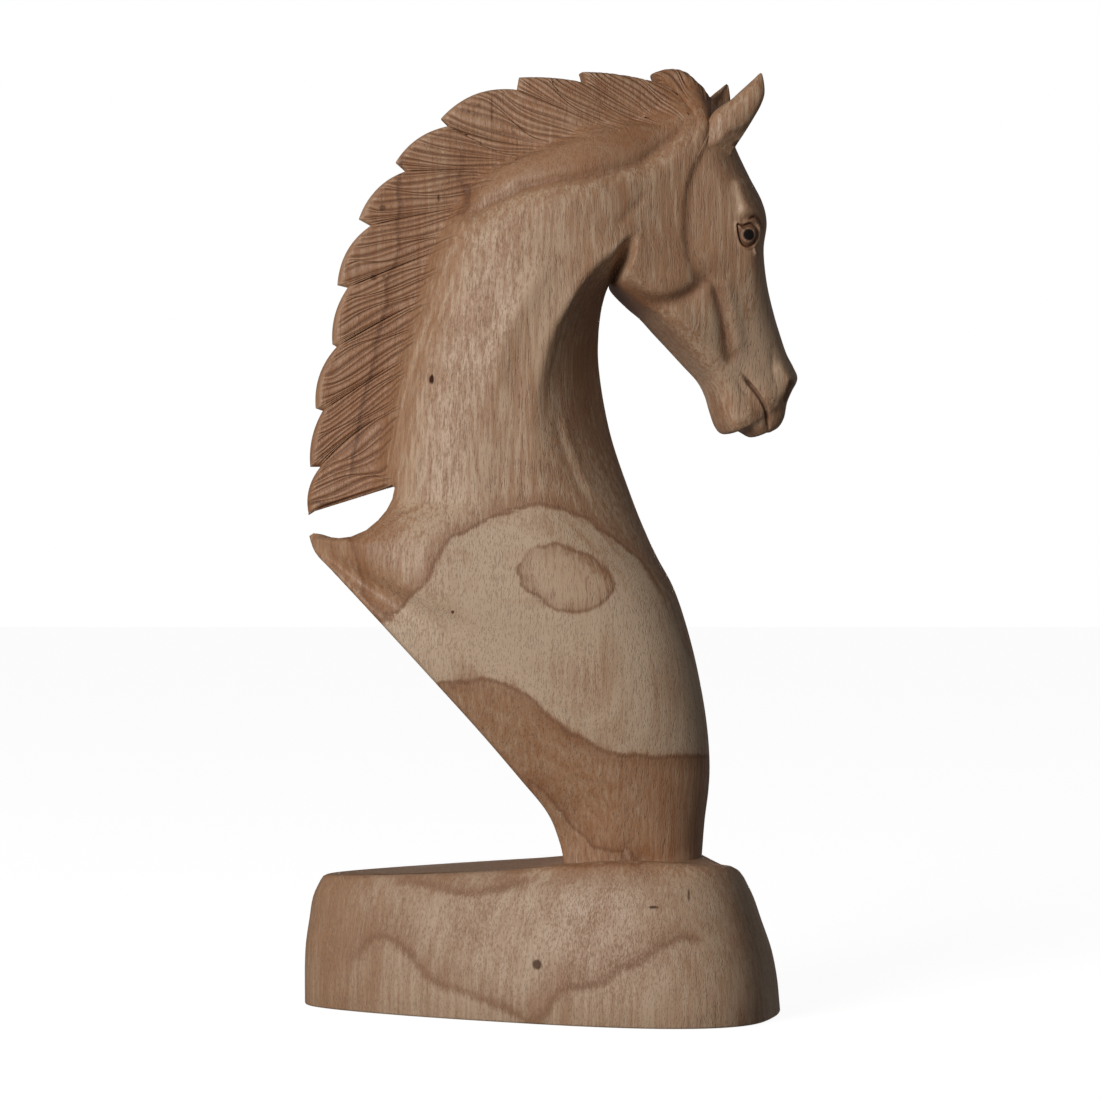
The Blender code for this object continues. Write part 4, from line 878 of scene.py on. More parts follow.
def hair_cuts(at, around, hair):
    """Depth of the gouge cuts between the hairs, and of the cuts that part the locks."""
    lock = np.clip(np.floor(at), FIRST_LOCK, FORELOCK - 1)
    share = at - lock
    reach = around / ROOT_COLUMN
    across = np.abs(2 * (hair - np.floor(hair)) - 1)
    number = np.round(hair)
    # Sines of the hair's and the lock's number make each cut a little different
    varied = HAIR_DEPTH_SHARE + HAIR_DEPTH_SWING * np.sin(number * 2.9 + lock * 4.7)
    low = ramp(at, *LOW_LOCKS)
    ends = HAIR_END + (HAIR_END_SWING - LOW_SWING_LESS * low) * np.sin(number * 5.3 + lock * 3.1)
    ends = np.where(share < NOTCH_SHARE, HAIR_END_AT_TIP, ends)
    ends = ends - FORELOCK_HAIRS_SHORTER * ramp(at, *FORELOCK_HAIRS)
    fading = HAIR_FADING - LOW_FADING_LESS * low
    along = ramp(reach, *HAIR_START) * (1 - smooth_step((reach - ends) / fading + HAIR_END_EARLY))
    hairs = -HAIR_DEPTH * varied * across**HAIR_SHARPNESS * along * (hair >= 0)
    gap = np.minimum(share / (NOTCH_SHARE * DIVIDE_GROOVE_ABOVE), (1 - share) / DIVIDE_GROOVE_BELOW)
    divide = -DIVIDE_GROOVE * np.exp(-gap**2)
    divide = divide * ramp(reach, *DIVIDE_GROOVE_STARTS) * (1 - ramp(reach, *DIVIDE_GROOVE_STOPS))
    active = (at > FIRST_LOCK + FIRST_HAIRS) & (at < FORELOCK) & (reach < HAIRS_REACH)
    end = smooth_step((FORELOCK - at) / FORELOCK_END * 2)
    return np.where(active, (hairs + divide) * end, 0.0)


def face_cuts(x, z):
    """Depth of the fine cuts of the face at places in the side plane."""
    depth = np.zeros(x.shape)
    for points, half_width, height in CUTS:
        gap, place, _ = nearest_on_line(x, z, points)
        ends = smooth_step(place / CUT_RUN_OUT) * smooth_step((1 - place) / CUT_RUN_OUT)
        depth += height * (CUT_END_SHARE + (1 - CUT_END_SHARE) * ends) * np.exp(-(gap / half_width) ** 2)
    gap, _, _ = nearest_on_line(x, z, NOSTRIL)
    depth += NOSTRIL_DEPTH * np.exp(-(gap / NOSTRIL_HALF) ** 2)
    out = outline_gap(x, z, smooth_outline(EYE, EYE_POINTS))
    ball = np.clip(-out / EYEBALL_REACH, 0, 1)
    depth += EYEBALL_RISE * np.sqrt(1 - (1 - ball) ** 2)
    groove = np.where(out < 0, out / EYE_GROOVE_INSIDE, out / EYE_GROOVE_OUTSIDE)
    depth += EYE_GROOVE * np.exp(-groove**2)
    depth += LID_RISE * np.exp(-((out - LID_PLACE) / LID_HALF) ** 2)
    return depth


def turn_base(points, at):
    """Widen the far side of the base and turn it: fully up to its rim, less and less towards the foot."""
    share = 1 - np.clip((at - RIM) / (FOOT - RIM), 0, 1)
    angle = BASE_TURN * share
    x, y = points[:, 0] - BASE_TOP_SHIFT, points[:, 1] * (1 + BASE_FAR_SPREAD * share * (points[:, 1] > 0))
    turned = points.copy()
    turned[:, 0] = BASE_TOP_SHIFT + x * np.cos(angle) - y * np.sin(angle)
    turned[:, 1] = x * np.sin(angle) + y * np.cos(angle)
    corner = ramp(turned[:, 0], *FALL_ALONG) * ramp(turned[:, 1], *FALL_ACROSS) * share
    turned[:, 2] -= BASE_FAR_FALL * corner * np.clip(points[:, 2] / BASE_HEIGHT_FRONT, 0, 1)
    return turned


def turn_head(points):
    """Turn the head about an upright axis, more and more from the neck to the poll."""
    x, y, z = points[:, 0], points[:, 1], points[:, 2]
    pivot = TURN_X + BUST_SHIFT
    measure = (x - TURN_START[0] - BUST_SHIFT) / TURN_RUN[0] + (z - TURN_START[1]) / TURN_RUN[1]
    angle = HEAD_TURN * smooth_step(measure)
    turned = points.copy()
    turned[:, 0] = pivot + (x - pivot) * np.cos(angle) - y * np.sin(angle)
    turned[:, 1] = (x - pivot) * np.sin(angle) + y * np.cos(angle)
    return turned


def stations():
    """Stations of the grid's rows, and the hair that each row is on (negative where there is none)."""
    low = [np.linspace(start, end, count) for start, end, count in ROWS_BELOW_MANE]
    rows = list(np.concatenate(low))
    hairs = [-1.0] * len(rows)
    for lock in range(int(FORELOCK)):
        cuts = np.arange(HAIRS_IN_LOCK + 1.0)
        cuts[1:-1] += HAIR_UNEVEN * np.sin(2.9 * cuts[1:-1] + 4.7 * lock)
        # The last lock has no lock below it, so it has no notch
        for hair in range(TIP_HAIRS if lock else 0):
            for across in HAIR_ROWS:
                rows.append(lock + NOTCH_SHARE * (hair + across) / TIP_HAIRS)
                hairs.append(hair + across)
        for hair in range(HAIRS_IN_LOCK):
            for across in HAIR_ROWS:
                cut = cuts[hair] + across * (cuts[hair + 1] - cuts[hair])
                rows.append(lock + NOTCH_SHARE + (1 - NOTCH_SHARE) * cut / HAIRS_IN_LOCK)
                hairs.append(TIP_HAIRS + hair + across)
        rows.append(lock + LAST_ROW_OF_LOCK)
        hairs.append(float(TIP_HAIRS + HAIRS_IN_LOCK))
    head = np.linspace(FORELOCK, LIPS, ROWS_OF_HEAD)
    return np.array(rows + list(head)), np.array(hairs + [-1.0] * len(head))


def refine(grid, skin, rows):
    """Split the grid's squares round the eye, the nostril and the mouth."""
    for (x, z), reach in REFINED:
        params = np.array([vert.co[:2] for vert in grid.verts])
        at = np.interp(params[:, 1], np.arange(len(rows)), rows)
        places = skin.places(at, params[:, 0])
        near = np.hypot(places[:, 0] - BUST_SHIFT - x, places[:, 2] - z) < reach
        near &= at > FORELOCK + 1
        for vert, flag in zip(grid.verts, near):
            vert.tag = bool(flag)
        edges = [edge for edge in grid.edges if edge.verts[0].tag and edge.verts[1].tag]
        bmesh.ops.subdivide_edges(grid, edges=edges, cuts=1, use_grid_fill=True)


def mesh_of(name, shape):
    """Turn a bmesh into a mesh."""
    mesh = bpy.data.meshes.new(name)
    shape.to_mesh(mesh)
    shape.free()
    return mesh


def put_turned(shape, coords):
    """Put the vertices of a bmesh at places in millimetres, turned with the head."""
    for vert, place in zip(shape.verts, turn_head(coords)):
        vert.co = Vector(place) * MM


def carved_values(at, around, hair, places):
    """What each vertex of the grid carries: station, depth of cut, and share of mane, of painted shade and
    stain along the creases, and of polish with its painted highlight.
    """
    x, z = places[:, 0] - BUST_SHIFT, places[:, 2]
    on_head = ramp(at, FORELOCK + 1, 1) * ramp(at, LIPS - 0.3, -0.6)
    on_side = ramp(at, 0.0, 2.0) * ramp(at, LIPS - 1, -2.0)
    mane = ramp(at, -0.05, 0.1) * (at < FORELOCK) * (1 - ramp(around / ROOT_COLUMN, *MANE_COLOUR_STOPS))
    stain_and_shade, polish_and_highlight = (line_strength(lines, x, z) * on_side for lines in (STAINS_AND_SHADE, POLISH_AND_HIGHLIGHT))
    cut = hair_cuts(at, around, hair) + face_cuts(x, z) * on_head
    return {"station": at, "cut": cut, "mane": mane, "stain_and_shade": stain_and_shade, "polish_and_highlight": polish_and_highlight}


def carving_mesh(name):
    """The skin as a closed mesh: a grid shaped by the sections, mirrored, cut and turned."""
    rows, hairs = stations()
    skin = Skin()
    grid = bmesh.new()
    bmesh.ops.create_grid(grid, x_segments=COLUMNS, y_segments=len(rows) - 1, size=1)
    for vert in grid.verts:
        column = round((vert.co.x + 1) / 2 * COLUMNS)
        row = round((vert.co.y + 1) / 2 * (len(rows) - 1))
        vert.co = (column / COLUMNS, row, 0)
    refine(grid, skin, rows)
    params = np.array([vert.co[:2] for vert in grid.verts])
    around = params[:, 0]
    at = np.interp(params[:, 1], np.arange(len(rows)), rows)
    hair = np.interp(params[:, 1], np.arange(len(rows)), hairs)
    places = skin.places(hair_lines(at, around), around)
    values = carved_values(at, around, hair, places)
    layers = {key: grid.verts.layers.float.new(key) for key in values}
    for index, vert in enumerate(grid.verts):
        vert.co = places[index]
        for key, layer in layers.items():
            vert[layer] = values[key][index]
        if vert.is_boundary:
            vert.co.y = 0.0
    everything = list(grid.verts) + list(grid.edges) + list(grid.faces)
    bmesh.ops.mirror(grid, geom=everything, axis="Y", merge_dist=1e-4)
    bmesh.ops.remove_doubles(grid, verts=list(grid.verts), dist=1e-3)
    bmesh.ops.recalc_face_normals(grid, faces=list(grid.faces))
    grid.normal_update()
    layers = {key: grid.verts.layers.float[key] for key in values}
    coords = np.array([vert.co + vert.normal * vert[layers["cut"]] for vert in grid.verts])
    put_turned(grid, turn_base(coords, np.array([vert[layers["station"]] for vert in grid.verts])))
    return mesh_of(name, grid)


def ear_back(out, facet):
    """Height of an ear's back, from 0 to 1, across the ear from -1 to 1: round, and flat below a facet."""
    if out < facet:
        return math.sqrt(1 - facet * facet) * (out + 1) / (facet + 1)
    return math.sqrt(max(0.0, 1 - out * out))


def ear_mesh(name, tip_place, side, wider):
    """A pointed ear: a hollow crescent section that twists from its root to its tip."""
    mirror = np.array((1, side, 1))
    root, tip = np.array(EAR_ROOT) * mirror, np.array(tip_place) * mirror
    axis = (tip - root) / np.linalg.norm(tip - root)
    length = EAR_LENGTH + EAR_SUNK
    start = tip - axis * length
    shares = np.linspace(0, 1, EAR_RINGS)
    widths = station_value(EAR_SHAPE, shares) * EAR_WIDTH / 2 * wider
    leans = station_value(EAR_LEAN, shares)
    facets = 2 * np.clip(station_value(EAR_FLAT, shares), *EAR_FACET_RANGE) - 1
    places = []
    for share, width, lean, facet in zip(shares, widths, leans, facets):
        opening = np.array(EAR_OPENS_LOW) * (1 - share) + np.array(EAR_OPENS_HIGH) * share
        opening = opening * mirror
        opening = opening - axis * opening.dot(axis)
        opening /= np.linalg.norm(opening)
        across = np.cross(axis, opening) * side
        depth = width * EAR_DEPTH
        rim = min(EAR_WALL, width * EAR_RIM_SHARE)
        hollow = max(depth - EAR_WALL, depth * EAR_HOLLOW_SHARE) * float(ramp(share, *EAR_HOLLOW_START))
        bend = opening * EAR_BEND * math.sin(math.pi * share)
        centre = start + axis * length * share - bend - across * lean
        for step in range(EAR_POINTS):
            out = math.cos(math.pi * step / EAR_POINTS)
            places.append(centre + across * width * out - opening * depth * ear_back(out, facet))
        for step in range(EAR_POINTS):
            out = -math.cos(math.pi * step / EAR_POINTS)
            inner = hollow * (1 - min(1.0, abs(out) * width / (width - rim)) ** EAR_HOLLOW_POWER)
            inner = min(inner, max(0.0, depth * ear_back(out, facet) - rim))
            places.append(centre + across * width * out - opening * inner)
    ear = bmesh.new()
    ring_size = 2 * EAR_POINTS
    bmesh.ops.create_cone(ear, cap_ends=True, segments=ring_size, radius1=1, radius2=1, depth=1)
    side_edges = [edge for edge in ear.edges if abs(edge.verts[0].co.z - edge.verts[1].co.z) > 0.5]
    bmesh.ops.subdivide_edges(ear, edges=side_edges, cuts=EAR_RINGS - 2)
    for vert in ear.verts:
        ring = round((vert.co.z + 0.5) * (EAR_RINGS - 1))
        spoke = round(math.atan2(vert.co.y, vert.co.x) / (2 * math.pi) * ring_size) % ring_size
        place = places[ring * ring_size + spoke]
        vert.co = (place[0] + BUST_SHIFT, place[1], place[2])
    put_turned(ear, np.array([vert.co[:] for vert in ear.verts]))
    bmesh.ops.recalc_face_normals(ear, faces=list(ear.faces))
    return mesh_of(name, ear)


def hollow_mesh(name):
    """Cutter for the hollow under the last lock, a prism right through."""
    cutter = bmesh.new()
    verts = [cutter.verts.new(Vector((x + BUST_SHIFT, -HOLLOW_HALF, z)) * MM) for x, z in HOLLOW]
    face = cutter.faces.new(verts)
    pushed = bmesh.ops.extrude_face_region(cutter, geom=[face])
    moved = [item for item in pushed["geom"] if isinstance(item, bmesh.types.BMVert)]
    bmesh.ops.translate(cutter, verts=moved, vec=(0, 2 * HOLLOW_HALF * MM, 0))
    bmesh.ops.recalc_face_normals(cutter, faces=list(cutter.faces))
    return mesh_of(name, cutter)


def in_scene(name, data):
    """A new object at the origin of the scene."""
    item = bpy.data.objects.new(name, data)
    bpy.context.scene.collection.objects.link(item)
    return item


def vertex_vectors(mesh, name):
    """One vector for each vertex, in rows: its place (co) or its normal."""
    vectors = np.empty(len(mesh.vertices) * 3)
    mesh.vertices.foreach_get(name, vectors)
    return vectors.reshape(-1, 3)


def carve(name):
    """The whole carving as one piece: skin and ears joined, the hollow cut, thinned and kept in its box."""
    carving = in_scene(name, carving_mesh(name))
    tools = []
    for tool_name, mesh, operation in (
            ("ear_near", ear_mesh("ear_near", EAR_TIP_NEAR, 1, 1.0), "UNION"),
            ("ear_far", ear_mesh("ear_far", EAR_TIP_FAR, -1, EAR_FAR_WIDER), "UNION"),
            ("hollow", hollow_mesh("hollow"), "DIFFERENCE")):
        tool = in_scene(tool_name, mesh)
        modifier = carving.modifiers.new(tool_name, "BOOLEAN")
        modifier.operation = operation
        modifier.object = tool
        tools.append(tool)
    count = sum(len(face.vertices) - 2 for face in carving.data.polygons)
    thin = carving.modifiers.new("thin", "DECIMATE")
    thin.ratio = TRIANGLES / count
    shaped = bpy.data.meshes.new_from_object(carving.evaluated_get(bpy.context.evaluated_depsgraph_get()))
    carving.modifiers.clear()
    carving.data = shaped
    for tool in tools:
        bpy.data.objects.remove(tool, do_unlink=True)
    coords = np.clip(vertex_vectors(shaped, "co"), box_low, box_high)
    shaped.vertices.foreach_set("co", coords.ravel())
    add_hollowness(shaped, coords)
    add_figure(shaped, coords)
    shaped.shade_smooth()
    return carving


def add_hollowness(mesh, coords):
    """Vertex value that the wood reads: how hollow each place is, from its neighbours. The wood paints shade
    into the hollows by it, and makes the ridges paler.
    """
    edges = np.empty(len(mesh.edges) * 2, int)
    mesh.edges.foreach_get("vertices", edges)
    edges = edges.reshape(-1, 2)
    normals = vertex_vectors(mesh, "normal")
    step = coords[edges[:, 1]] - coords[edges[:, 0]]
    length = np.maximum(np.linalg.norm(step, axis=1), 1e-7)
    total, weight = np.zeros(len(coords)), np.zeros(len(coords))
    for end, sign in ((0, 1.0), (1, -1.0)):
        rise = sign * np.einsum("ij,ij->i", step, normals[edges[:, end]]) / length
        np.add.at(total, edges[:, end], rise)
        np.add.at(weight, edges[:, end], 1.0)
    hollow = total / np.maximum(weight, 1.0)
    near, count = hollow.copy(), np.ones(len(coords))
    for end in (0, 1):
        np.add.at(near, edges[:, end], hollow[edges[:, 1 - end]])
        np.add.at(count, edges[:, end], 1.0)
    add_value(mesh, "hollow", near / count)


def add_value(mesh, name, values):
    layer = mesh.attributes.new(name, "FLOAT", "POINT")
    layer.data.foreach_set("value", values.astype(np.float32))


def within(x, z, parts):
    """Sum over parts of the carving, each a strength and the ramps along x or z that bound it."""
    total = 0.0
    for strength, ramps in parts:
        for axis, start, run in ramps:
            strength = strength * ramp(x if axis == "x" else z, start, run)
        total = total + strength
    return total


def crest_share(x, z):
    """1 on the crest between the neck's crease and the mane, and 0 away from it."""
    x, z = x - CREST_MIDDLE[0], z - CREST_MIDDLE[1]
    along = x * CREST_WAY[0] + z * CREST_WAY[1]
    above = z * CREST_WAY[0] - x * CREST_WAY[1]
    return smooth_step(CREST_EDGE - np.hypot(along / CREST_HALF[0], above / CREST_HALF[1]))


def add_figure(mesh, coords):
    """Vertex values of the wood's figure: distance to the rings, their strength, and how red the wood is."""
    x, y, z = (coords / MM).T
    on_base = ramp(z, *BASE_COLOUR)
    nearer = SEEN_FROM / (SEEN_FROM - np.abs(y))
    x, z = x * nearer, (z - SEEN_HEIGHT) * nearer + SEEN_HEIGHT
    z = z + FAR_SIDE_LOWER * ramp(y, *FAR_SIDE) * (1 - FAR_SIDE_BASE_LESS * on_base)
    outside = np.min([outline_gap(x, z, outline) for outline in RINGS_SOFT_OUTSIDE], axis=0)
    inside = np.max([-outline_gap(x, z, outline) for outline in RINGS_SOFT_INSIDE], axis=0)
    strength = 1 - RINGS_FAINTER_ON_BASE * on_base
    for middle_x, middle_z, reach in RING_FADES:
        strength = strength * smooth_step(np.hypot(x - middle_x, z - middle_z) / reach - RING_FADE_CORE)
    pale = 1 - smooth_step(outline_gap(x, z, SHOULDER_RING) / PALE_EDGE + 0.5)
    calm = pale * smooth_step(outline_gap(x, z, SHOULDER_OVAL) / OVAL_EDGE + 0.5)
    crest = crest_share(x, z)
    red = RED_EVERYWHERE + within(x, z, RED_BODY) + within(x, z, RED_SLICE_END) * on_base
    red = red * (1 - pale) + within(x, z, RED_SHOULDER) * pale - BASE_PALER * on_base
    red = red + within(x, z, RED_HEAD_AND_MANE) + RED_CREST * crest
    add_value(mesh, "ring_outside", np.clip(outside, -RING_REACH, RING_REACH))
    add_value(mesh, "ring_inside", np.clip(inside, -RING_REACH, RING_REACH))
    add_value(mesh, "ring_strength", strength)
    add_value(mesh, "on_base", on_base)
    add_value(mesh, "red", red)
    add_value(mesh, "streaky", 1 - CALM_SHOULDER * calm - CALM_BASE * on_base - CALM_CREST * crest)


class Value:
    """A number that changes over a surface: expressions on it add Math nodes."""

    def __init__(self, finish, socket):
        self.finish = finish
        self.socket = socket

    def math(self, operation, *others, clamp=False):
        sockets = {0: self}
        sockets.update({index + 1: other for index, other in enumerate(others)})
        return self.finish.node("Math", {"operation": operation, "use_clamp": clamp}, sockets)

    def __add__(self, other):
        return self.math("ADD", other)

    def __sub__(self, other):
        return self.math("SUBTRACT", other)

    def __mul__(self, other):
        return self.math("MULTIPLY", other)

    def __truediv__(self, other):
        return self.math("DIVIDE", other)

    def __rsub__(self, other):
        return self.finish.node("Math", {"operation": "SUBTRACT"}, {0: other, 1: self})

    __radd__ = __add__
    __rmul__ = __mul__

    def step(self, low, high):
        """0 below low, 1 above high and smooth between them."""
        return self.finish.node("MapRange", {"interpolation_type": "SMOOTHSTEP"},
                                {"Value": self, "From Min": low, "From Max": high})

    def ridge(self, start, top, end):
        """1 at top, and 0 before start and after end."""
        return self.step(start, top) * (1 - self.step(top, end))

    def clamped(self):
        return self.math("ADD", 0.0, clamp=True)


class Finish:
    """A material, and the one way in which its nodes are added."""

    def __init__(self, name):
        self.material = bpy.data.materials.new(name)
        self.material.use_nodes = True
        self.tree = self.material.node_tree
        self.shader = self.tree.nodes["Principled BSDF"]

    def node(self, kind, settings, sockets, output=0):
        """Add a node: its settings first, then values or links into its sockets."""
        made = self.tree.nodes.new("ShaderNode" + kind)
        for key, value in settings.items():
            setattr(made, key, value)
        for key, value in sockets.items():
            if isinstance(value, Value):
                self.tree.links.new(value.socket, made.inputs[key])
            else:
                made.inputs[key].default_value = value
        return Value(self, made.outputs[output])

    def stretched(self, place, scale):
        """Coordinates in millimetres divided by a grain size along each axis."""
        shares = [1 / size for size in scale]
        return self.node("VectorMath", {"operation": "MULTIPLY"}, {0: place, 1: shares})

    def noise(self, place, scale, detail, roughness):
        return self.node("TexNoise", {}, {"Vector": self.stretched(place, scale), "Scale": 1.0,
                                          "Detail": detail, "Roughness": roughness})

    def value(self, name):
        """A vertex value of the mesh."""
        return self.node("Attribute", {"attribute_name": name}, {}, output=2)

    def parts(self, vector):
        """The x, y and z of a vector."""
        split = self.node("SeparateXYZ", {}, {0: vector})
        return [Value(self, output) for output in split.socket.node.outputs]

    def blend(self, factor, first, second):
        """Mix two colours."""
        return self.node("Mix", {"data_type": "RGBA"}, {0: factor, 6: first, 7: second}, output=2)

    def put(self, name, value):
        if isinstance(value, Value):
            self.tree.links.new(value.socket, self.shader.inputs[name])
        else:
            self.shader.inputs[name].default_value = value


def growth_rings(wood, facing, on_base, ragged, density, wobble):
    """The dark line of each ring, and its soft side."""
    uneven = (ragged - 0.5) * (RING_RAGGED + on_base * RING_RAGGED_ON_BASE) + (wobble - 0.5) * RING_WOBBLE
    strength = wood.value("ring_strength") * facing.step(*RING_FACING) * (RING_LEAST + density * RING_VARIES)
    line = 0.0
    side = 0.0
    for name in ("ring_outside", "ring_inside"):
        gap = (wood.value(name) + uneven) / (1 + on_base * RING_WIDER_ON_BASE)
        line = gap.ridge(*RING_LINE) * strength + line
        side = gap.ridge(*RING_SIDE) * strength + side
    return line, side


def knots(wood, tone, place, ragged):
    """Darken the knots, pin holes and checks: the new colour, and how burnt each place is."""
    x, y, z = wood.parts(place)
    burnt = 0.0
    for middle_x, middle_z, half_width, half_height, depth in MARKS:
        across = (x - middle_x) / half_width
        along = (z - middle_z) / half_height
        reach = (across * across + along * along).math("SQRT") + (ragged - 0.5) * MARK_RAGGED
        mark = (1 - reach.step(*MARK_EDGE)) * (1 - y.step(-1.0, 0.0))
        tone = wood.blend(mark * depth, tone, KNOT)
        burnt = mark * depth + burnt
    return tone, burnt


def burnt_pupils(wood, tone, place, ragged, pupils):
    """Burn the pupils, each in a broken pale ring on brown: the new colour, and how burnt each place is."""
    burnt = 0.0
    for centre in pupils:
        gap = wood.node("VectorMath", {"operation": "DISTANCE"}, {0: place, 1: centre}, output=1)
        gap = gap - PUPIL_HALF
        tone = wood.blend((1 - gap.step(*PUPIL_BROWN)) * 0.85, tone, BROWN)
        tone = wood.blend((1 - gap.step(*PUPIL_PALE)) * ragged.step(*PUPIL_BROKEN) * 0.9, tone, PUPIL_RING)
        edge = 1 - gap.step(0.0, PUPIL_EDGE)
        tone = wood.blend(edge, tone, BROWN)
        tone = wood.blend(1 - gap.step(-PUPIL_SOFT, PUPIL_SOFT), tone, BURNT)
        burnt = edge + burnt
    return tone, burnt


def satin_wood(pupils):
    """Pale to reddish brown wood with vessels along its height and rings cut by the carving."""
    wood = Finish("satin_wood")
    place = wood.stretched(wood.node("TexCoord", {}, {}, output=3), (MM, MM, MM))
    normal_parts = wood.parts(wood.node("NewGeometry", {}, {}, output=1))
    facing = normal_parts[1].math("ABSOLUTE")
    upward = normal_parts[2].step(*UPWARD_STEP)
    streaks, bands, clouds, fibre, vessels = (
        wood.noise(place, *pattern) for pattern in (STREAKS, BANDS, CLOUDS, FIBRE, VESSELS))
    long_vessels, flecks, density, ragged, wobble = (
        wood.noise(place, *pattern) for pattern in (LONG_VESSELS, FLECKS, DENSITY, RAGGED, WOBBLE))
    mane, streaky, stain_and_shade, polish_and_highlight, hollow, on_base = (
        wood.value(name) for name in ("mane", "streaky", "stain_and_shade", "polish_and_highlight", "hollow", "on_base"))
    line, side = growth_rings(wood, facing, on_base, ragged, density, wobble)

    # Colour of the bare wood, from cream to reddish brown
    # The painted shade along the creases reddens the wood, and below it also browns it
    redness = wood.value("red") + mane * REDDENS["mane"] + stain_and_shade * REDDENS["stain_and_shade"] + REDDENS["all"]
    redness = redness + line * (REDDENS["ring"] + mane * REDDENS["ring in mane"])
    redness = redness + side * REDDENS["ring side"]
    redness = redness + (bands - 0.5) * (REDDENS["bands"] + on_base * REDDENS["bands on base"])
    redness = redness + (streaks - 0.5) * streaky * REDDENS["streaks"] + (clouds - 0.5) * REDDENS["clouds"]
    creamy = ((1 - streaky) * 1.5).clamped()
    tone = wood.blend(redness.step(*TAN_STEP), wood.blend(creamy, PALE, CREAM), TAN)
    tone = wood.blend(redness.step(*REDDISH_STEP), tone, REDDISH)
    rings = line * (BROWNS["ring"] + mane * BROWNS["ring in mane"]) + side * BROWNS["ring side"]
    # Rings brown the wood, and so does the painted shade along the creases and in the throat
    tone = wood.blend((rings + stain_and_shade * BROWNS["stain_and_shade"]).clamped(), tone, BROWN)
    # The base is browner, and its upward faces get painted shade on top of that
    tone = wood.blend(on_base * (BROWNS["base"] + upward * BROWNS["shade on base top"]), tone, BROWN)

    # Vessels, as short dashes on calm wood and long ones on streaky wood
    dashes = (vessels + (density - 0.5) * 0.16 + line * 0.10).step(*VESSEL_STEP) * (1 - streaky * 0.6)
    long_dashes = (long_vessels + (density - 0.5) * 0.2).step(*LONG_VESSEL_STEP) * streaky
    tone = wood.blend((fibre - 0.5).math("ABSOLUTE") * BROWNS["fibre"], tone, BROWN)
    tone = wood.blend((dashes + long_dashes) * VESSEL_STRENGTH, tone, VESSEL)
    tone = wood.blend(flecks.step(*FLECK_STEP) * FLECK_STRENGTH, tone, PALE)

    # Painted shade in the cuts and hollows, and the ridges made paler
    cut = (wood.value("cut") * -1.0).step(*CUT_SHADE_STEP)
    ridge = (hollow * -1.0).step(*RIDGE_STEP)
    painted_hollow_shade = (hollow.step(*HOLLOW_SHADE_STEP) * BROWNS["hollow"] + cut * BROWNS["cut"]).clamped()
    tone = wood.blend(painted_hollow_shade, tone, BROWN)
    paler_ridges = ridge * (RIDGE_STRENGTH + mane * RIDGE_IN_MANE) * (1 - line * 0.7)
    tone = wood.blend(paler_ridges.clamped(), tone, PALE)
    # Painted highlight: the polished brow ridge and the eye's front corner are tinted cream
    tone = wood.blend((polish_and_highlight * PAINTED_HIGHLIGHT_STRENGTH).clamped(), tone, CREAM)
    tone, knotty = knots(wood, tone, place, ragged)
    tone, burnt = burnt_pupils(wood, tone, place, ragged, pupils)
    wood.put("Base Color", tone)

    rough = ROUGHNESS + dashes * ROUGHER["vessels"] + (streaks - 0.5) * ROUGHER["streaks"]
    rough = rough + (knotty + burnt) * ROUGHER["burnt"]
    rough = rough + ridge * mane * ROUGHER["ridge in mane"] + polish_and_highlight * ROUGHER["polish_and_highlight"]
    wood.put("Roughness", rough.clamped())
    height = fibre * 0.4 - (dashes + long_dashes * 0.8)
    grain = {"Strength": GRAIN_STRENGTH, "Distance": GRAIN_BUMP * MM, "Height": height}
    wood.put("Normal", wood.node("Bump", {}, grain))
    wood.put("Specular IOR Level", SHEEN)
    return wood.material


def pupil_places(carving):
    """Middle of each pupil on the finished face, in millimetres."""
    coords = vertex_vectors(carving.data, "co") / MM
    found = []
    for side in (-1, 1):
        tried = [[PUPIL[0] + BUST_SHIFT, side * half, PUPIL[1]] for half in np.linspace(*PUPIL_SEARCH)]
        turned = turn_head(np.array(tried))
        gaps = np.linalg.norm(coords[None, :, :] - turned[:, None, :], axis=2).min(axis=1)
        found.append([float(value) for value in turned[int(np.argmin(gaps))]])
    return found


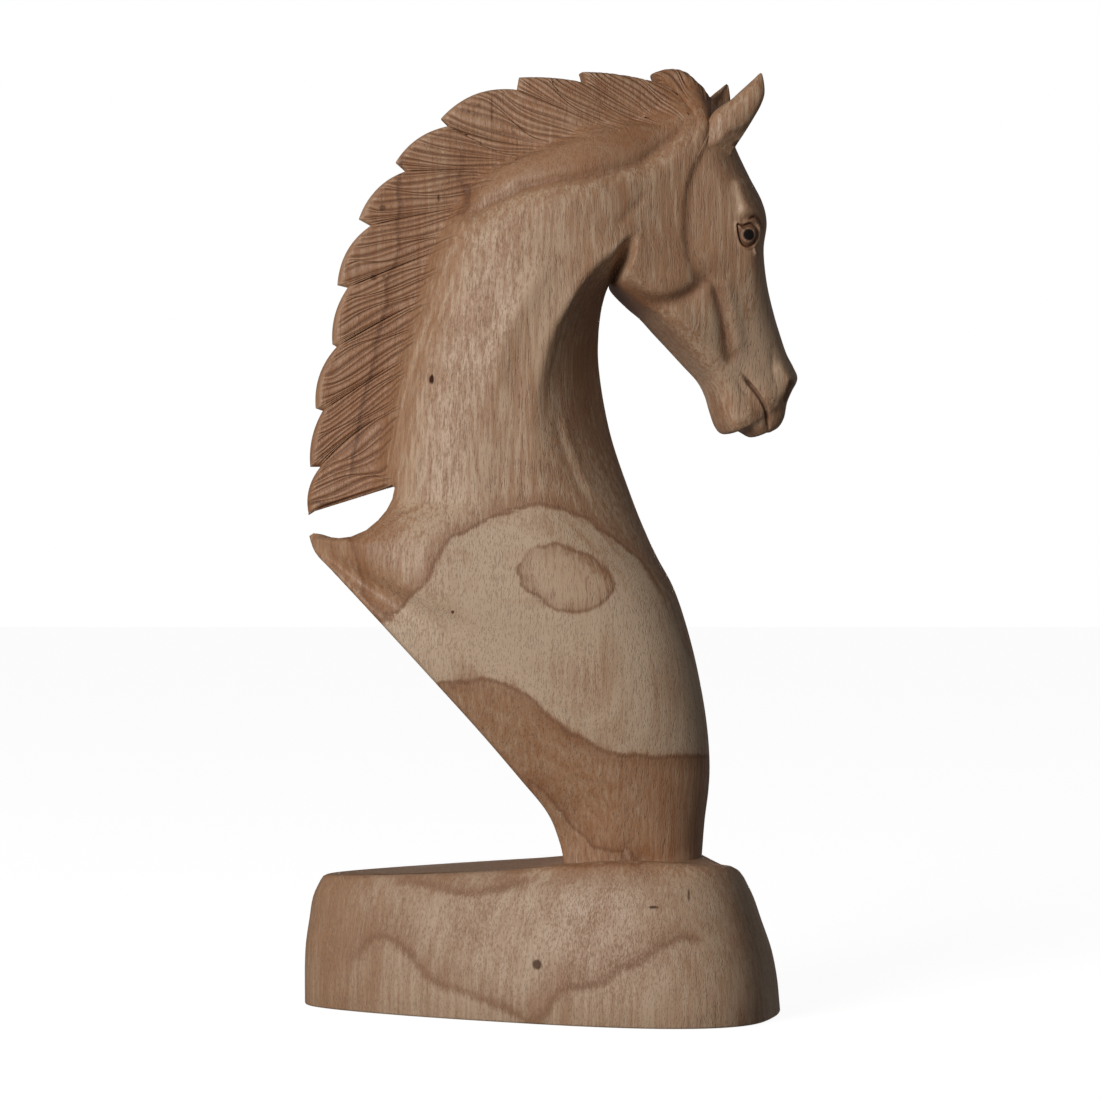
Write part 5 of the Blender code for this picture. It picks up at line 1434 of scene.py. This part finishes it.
def floor():
    """A pale studio floor that throws no light back on the carving."""
    ground = bmesh.new()
    bmesh.ops.create_grid(ground, x_segments=1, y_segments=1, size=FLOOR_REACH)
    bmesh.ops.translate(ground, verts=list(ground.verts), vec=(0.0, 0.0, box_low.z - FLOOR_BELOW))
    item = in_scene("floor", mesh_of("floor", ground))
    pale = Finish("pale_floor")
    pale.put("Base Color", FLOOR_COLOUR)
    pale.put("Roughness", FLOOR_ROUGHNESS)
    pale.put("Emission Color", WHITE)
    pale.put("Emission Strength", FLOOR_GLOW)
    item.data.materials.append(pale.material)
    item.visible_diffuse = False
    item.visible_glossy = False


def camera():
    data = bpy.data.cameras.new("camera")
    data.lens = CAMERA_LENS
    data.sensor_width = CAMERA_SENSOR
    item = in_scene("camera", data)
    item.location = CAMERA_PLACE
    item.rotation_euler = (math.radians(90.0), 0.0, 0.0)
    bpy.context.scene.camera = item


def lights(carving):
    """Soft lights. The one behind lights the carving alone."""
    only_carving = bpy.data.collections.new("only_carving")
    only_carving.objects.link(carving)
    for name, place, size, power, on_floor in LIGHTS:
        data = bpy.data.lights.new(name, "AREA")
        data.size = size
        data.energy = power
        item = in_scene(name, data)
        item.location = place
        item.rotation_euler = (AIM - Vector(place)).to_track_quat("-Z", "Y").to_euler()
        if not on_floor:
            item.visible_glossy = False
            item.light_linking.receiver_collection = only_carving


def studio():
    """White where the camera sees it, and a dim white light on the carving."""
    world = bpy.data.worlds.new("studio")
    world.use_nodes = True
    tree = world.node_tree
    ambient = tree.nodes["Background"]
    seen = tree.nodes.new("ShaderNodeBackground")
    for back, strength in ((ambient, AMBIENT), (seen, 1.0)):
        back.inputs["Color"].default_value = WHITE
        back.inputs["Strength"].default_value = strength
    path = tree.nodes.new("ShaderNodeLightPath")
    mix = tree.nodes.new("ShaderNodeMixShader")
    tree.links.new(path.outputs["Is Camera Ray"], mix.inputs[0])
    tree.links.new(ambient.outputs[0], mix.inputs[1])
    tree.links.new(seen.outputs[0], mix.inputs[2])
    tree.links.new(mix.outputs[0], tree.nodes["World Output"].inputs["Surface"])
    bpy.context.scene.world = world
    bpy.context.scene.view_settings.view_transform = "Standard"


carving = carve("carving")
carving.data.materials.append(satin_wood(pupil_places(carving)))
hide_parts("horse_head")
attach(carving, "root")
floor()
camera()
lights(carving)
studio()
